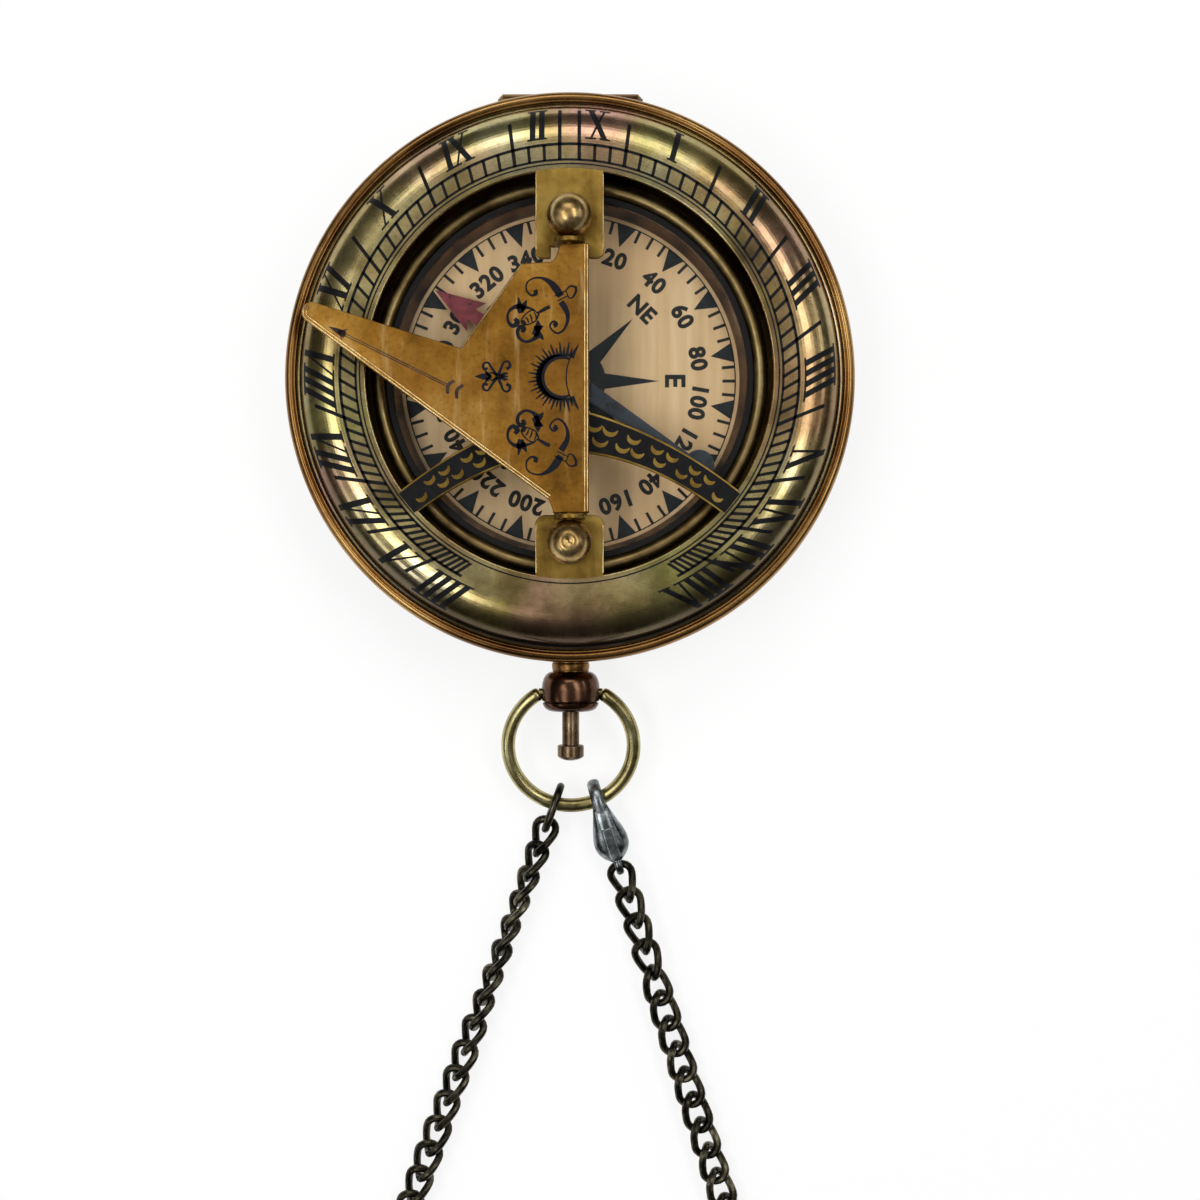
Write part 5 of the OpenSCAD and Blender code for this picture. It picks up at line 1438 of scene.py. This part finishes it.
def make_clasp():
    """Cast lobster clasp on edge: a hook round the bow, a swelling body with a
    slot and a bare raised plate, an eye, and the thumb lever that closes the
    hook. Points are (along, up), stations (along, low, high, half width)."""
    hook = smooth_line([(4.4, 1.5), (3.4, 1.72), (2.5, 1.78), (1.55, 1.55), (0.8, 0.9),
                        (0.5, 0.0), (0.72, -0.95), (1.3, -1.6)], 48)
    hook = np.concatenate([hook, np.zeros((48, 1))], 1)
    size = np.interp(np.linspace(0, 1, 48), [0, 0.3, 0.8, 1], [0.5, 0.48, 0.44, 0.36])
    ribbon = tube(hook, [0, 0, 1], size, sides=20, flat=1.6)
    eye = [(EYE_U + EYE_R * math.cos(t), EYE_R * math.sin(t), 0)
           for t in np.linspace(0, 2 * math.pi, 40, endpoint=False)]
    body = loft([(2.6, 1.4, 2.0, 0.7), (3.6, 0.95, 2.08, 0.98), (4.8, -0.1, 2.12, 1.34),
                 (6.0, -1.6, 2.12, 1.72), (7.2, -2.02, 2.1, 2.0), (8.3, -1.95, 2.0, 1.92),
                 (9.2, -1.45, 1.6, 1.4), (9.7, -0.95, 1.15, 0.82), (10.0, -0.6, 0.7, 0.5)])
    bare = soften([(5.9, -0.62), (9.0, -0.6), (9.5, -0.4), (9.5, 0.4), (9.0, 0.6),
                   (5.9, 0.62)], 0.2, 4)
    p, f = prisms(bare[None], 1.0, 2.2)
    bare_plate = (p[:, [0, 2, 1]], f[:, ::-1])
    ring = tube(np.array(eye), [0, 0, 1], EYE_WIRE_R, True, 16, 1.6)
    slot = np.array([[5.3, -3], [9.1, -3], [9.1, 0.7], [6.4, 0.7], [5.3, 0.2]])
    mouth = soften([(2.45, -3), (5.4, -3), (5.4, -0.2), (3.6, 0.95), (2.45, 1.5)], 0.3, 4)
    hole = arc((CLASP_HOLE_U, 0.1), CLASP_HOLE_R, 0, 350, 35)
    eyelet = arc((EYE_U, 0), EYE_HOLE_R, 0, 350, 35)
    cutters = [prisms(outline[None], -half, half)
               for outline, half in ((slot, 0.62), (hole, 2), (mouth, 2.5), (eyelet, 2))]
    mesh = cast([ribbon, ring, body, bare_plate], 0.07, 3, cutters)
    piece("clasp_shell", mesh, "chain_leads", CLASP_METAL, ["clasp_body"])
    side = soften([(2.05, -1.98), (2.05, -1.68), (5.0, -1.6), (6.3, -0.1), (6.9, 0.4), (7.6, -0.1),
                   (7.5, -1.2), (7.4, -2.02), (6.4, -2.02), (5.8, -1.98)], 0.3, 4)
    lever = prisms(side[None], -0.5, 0.5)
    piece("clasp_lever", cast([lever], 0.06, 2), "clasp_trigger", CLASP_METAL,
          ["clasp_trigger"])


# ---------------------------------------------------------------- stage

def math_node(tree, operation, *inputs):
    """Output of a math node whose inputs are numbers or other outputs."""
    node = tree.nodes.new("ShaderNodeMath")
    node.operation = operation
    for socket, value in zip(node.inputs, inputs):
        if isinstance(value, bpy.types.NodeSocket):
            tree.links.new(value, socket)
        else:
            socket.default_value = value
    return node.outputs[0]


def make_floor():
    """White floor that keeps the object's shadow: part of its white is its own
    light, seen by the camera, in reflections and through glass."""
    mesh = bpy.data.meshes.new("floor")
    mesh.from_pydata([(-2, -2, 0), (2, -2, 0), (2, 2, 0), (-2, 2, 0)], [], [(0, 1, 2, 3)])
    floor = bpy.data.objects.new("floor", mesh)
    bpy.context.scene.collection.objects.link(floor)
    material = bpy.data.materials.new("floor_white")
    material.use_nodes = True
    tree = material.node_tree
    tree.nodes.clear()
    out = tree.nodes.new("ShaderNodeOutputMaterial")
    diffuse = tree.nodes.new("ShaderNodeBsdfDiffuse")
    diffuse.inputs["Color"].default_value = (0.92, 0.92, 0.92, 1)
    glow = tree.nodes.new("ShaderNodeEmission")
    glow.inputs["Strength"].default_value = 1.15
    rays = tree.nodes.new("ShaderNodeLightPath").outputs
    seen = math_node(tree, "MAXIMUM", rays["Is Camera Ray"], rays["Is Glossy Ray"])
    seen = math_node(tree, "MAXIMUM", seen, rays["Is Transmission Ray"])
    mix = tree.nodes.new("ShaderNodeMixShader")
    tree.links.new(math_node(tree, "MULTIPLY", seen, 0.72), mix.inputs[0])
    tree.links.new(diffuse.outputs[0], mix.inputs[1])
    tree.links.new(glow.outputs[0], mix.inputs[2])
    tree.links.new(mix.outputs[0], out.inputs["Surface"])
    mesh.materials.append(material)


def make_sky():
    """Dim sky for the metal to reflect, brighter overhead and towards +Y."""
    world = bpy.data.worlds.new("sky")
    bpy.context.scene.world = world
    world.use_nodes = True
    tree = world.node_tree
    coords = tree.nodes.new("ShaderNodeTexCoord")
    parts = tree.nodes.new("ShaderNodeSeparateXYZ")
    ramp = tree.nodes.new("ShaderNodeValToRGB")
    tree.links.new(coords.outputs["Generated"], parts.inputs[0])
    lean = math_node(tree, "MULTIPLY_ADD", parts.outputs["Y"], 0.35, parts.outputs["Z"])
    share = tree.nodes.new("ShaderNodeMapRange")
    share.inputs["From Min"].default_value = -0.35
    share.inputs["From Max"].default_value = 1.06
    tree.links.new(lean, share.inputs["Value"])
    tree.links.new(share.outputs["Result"], ramp.inputs[0])
    tree.links.new(ramp.outputs["Color"], tree.nodes["Background"].inputs["Color"])
    stops = [(0.0, 0.04), (0.45, 0.06), (0.75, 0.10), (0.93, 0.15), (1.0, 0.38)]
    while len(ramp.color_ramp.elements) < len(stops):
        ramp.color_ramp.elements.new(0.5)
    for element, (at, level) in zip(ramp.color_ramp.elements, stops):
        element.position = at
        element.color = (level, level * 0.99, level * 0.97, 1)


def make_lamps():
    """Soft lamps aimed at the object: place and size in metres, power in watts."""
    for name, place, size, power in (
        ("left_lamp", (-0.29, -0.10, 0.62), (0.54, 0.20), 1.25),
        ("right_lamp", (0.29, 0.09, 0.62), (0.50, 0.18), 0.95),
        ("top_lamp", (-0.03, 0.40, 0.52), (0.44, 0.22), 0.75),
        ("low_left_lamp", (-0.42, -0.26, 0.34), (0.34, 0.08), 0.22),
        ("low_right_lamp", (0.46, 0.10, 0.30), (0.34, 0.06), 0.15),
    ):
        lamp = bpy.data.lights.new(name, "AREA")
        lamp.shape = "RECTANGLE"
        lamp.size, lamp.size_y = size
        lamp.energy = power
        obj = bpy.data.objects.new(name, lamp)
        obj.location = place
        aim = Vector((0, 0, 0.01)) - Vector(place)
        obj.rotation_euler = aim.to_track_quat("-Z", "Y").to_euler()
        bpy.context.scene.collection.objects.link(obj)


# ---------------------------------------------------------------- dress

NODE_METALS = {
    CASE_BRONZE: ["case_band", "case_knuckles", "lid_knuckle", "pendant_neck"],
    PIN_BRONZE: ["push_pin"],
    BOWL_BRASS: ["bowl_seat", "compass_bowl", "spring_posts"],
    STEEL: ["hinge_pin", "needle_post", "button_spring", "spring_screws", "latch_spring",
            "lift_spring", "lid_catch"],
    CLASP_METAL: ["clasp_rivet", "clasp_spring"],
}


def dress_nodes():
    """The carried-over solids take the finish of their metal."""
    for material, names in NODE_METALS.items():
        for name in names:
            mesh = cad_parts[name].data
            mesh.materials.clear()
            mesh.materials.append(material)


set_camera()
make_chain()
make_bow()
make_case()
make_pendant()
make_compass()
make_dial_print()
make_needle()
make_rim()
make_hour_ring()
make_tabs()
make_arms()
make_arm_scales()
make_hour_scale()
make_gnomon()
make_ornaments()
make_burnish()
make_clasp()
dress_nodes()
make_floor()
make_sky()
make_lamps()

bpy.context.scene.view_settings.view_transform = "Standard"
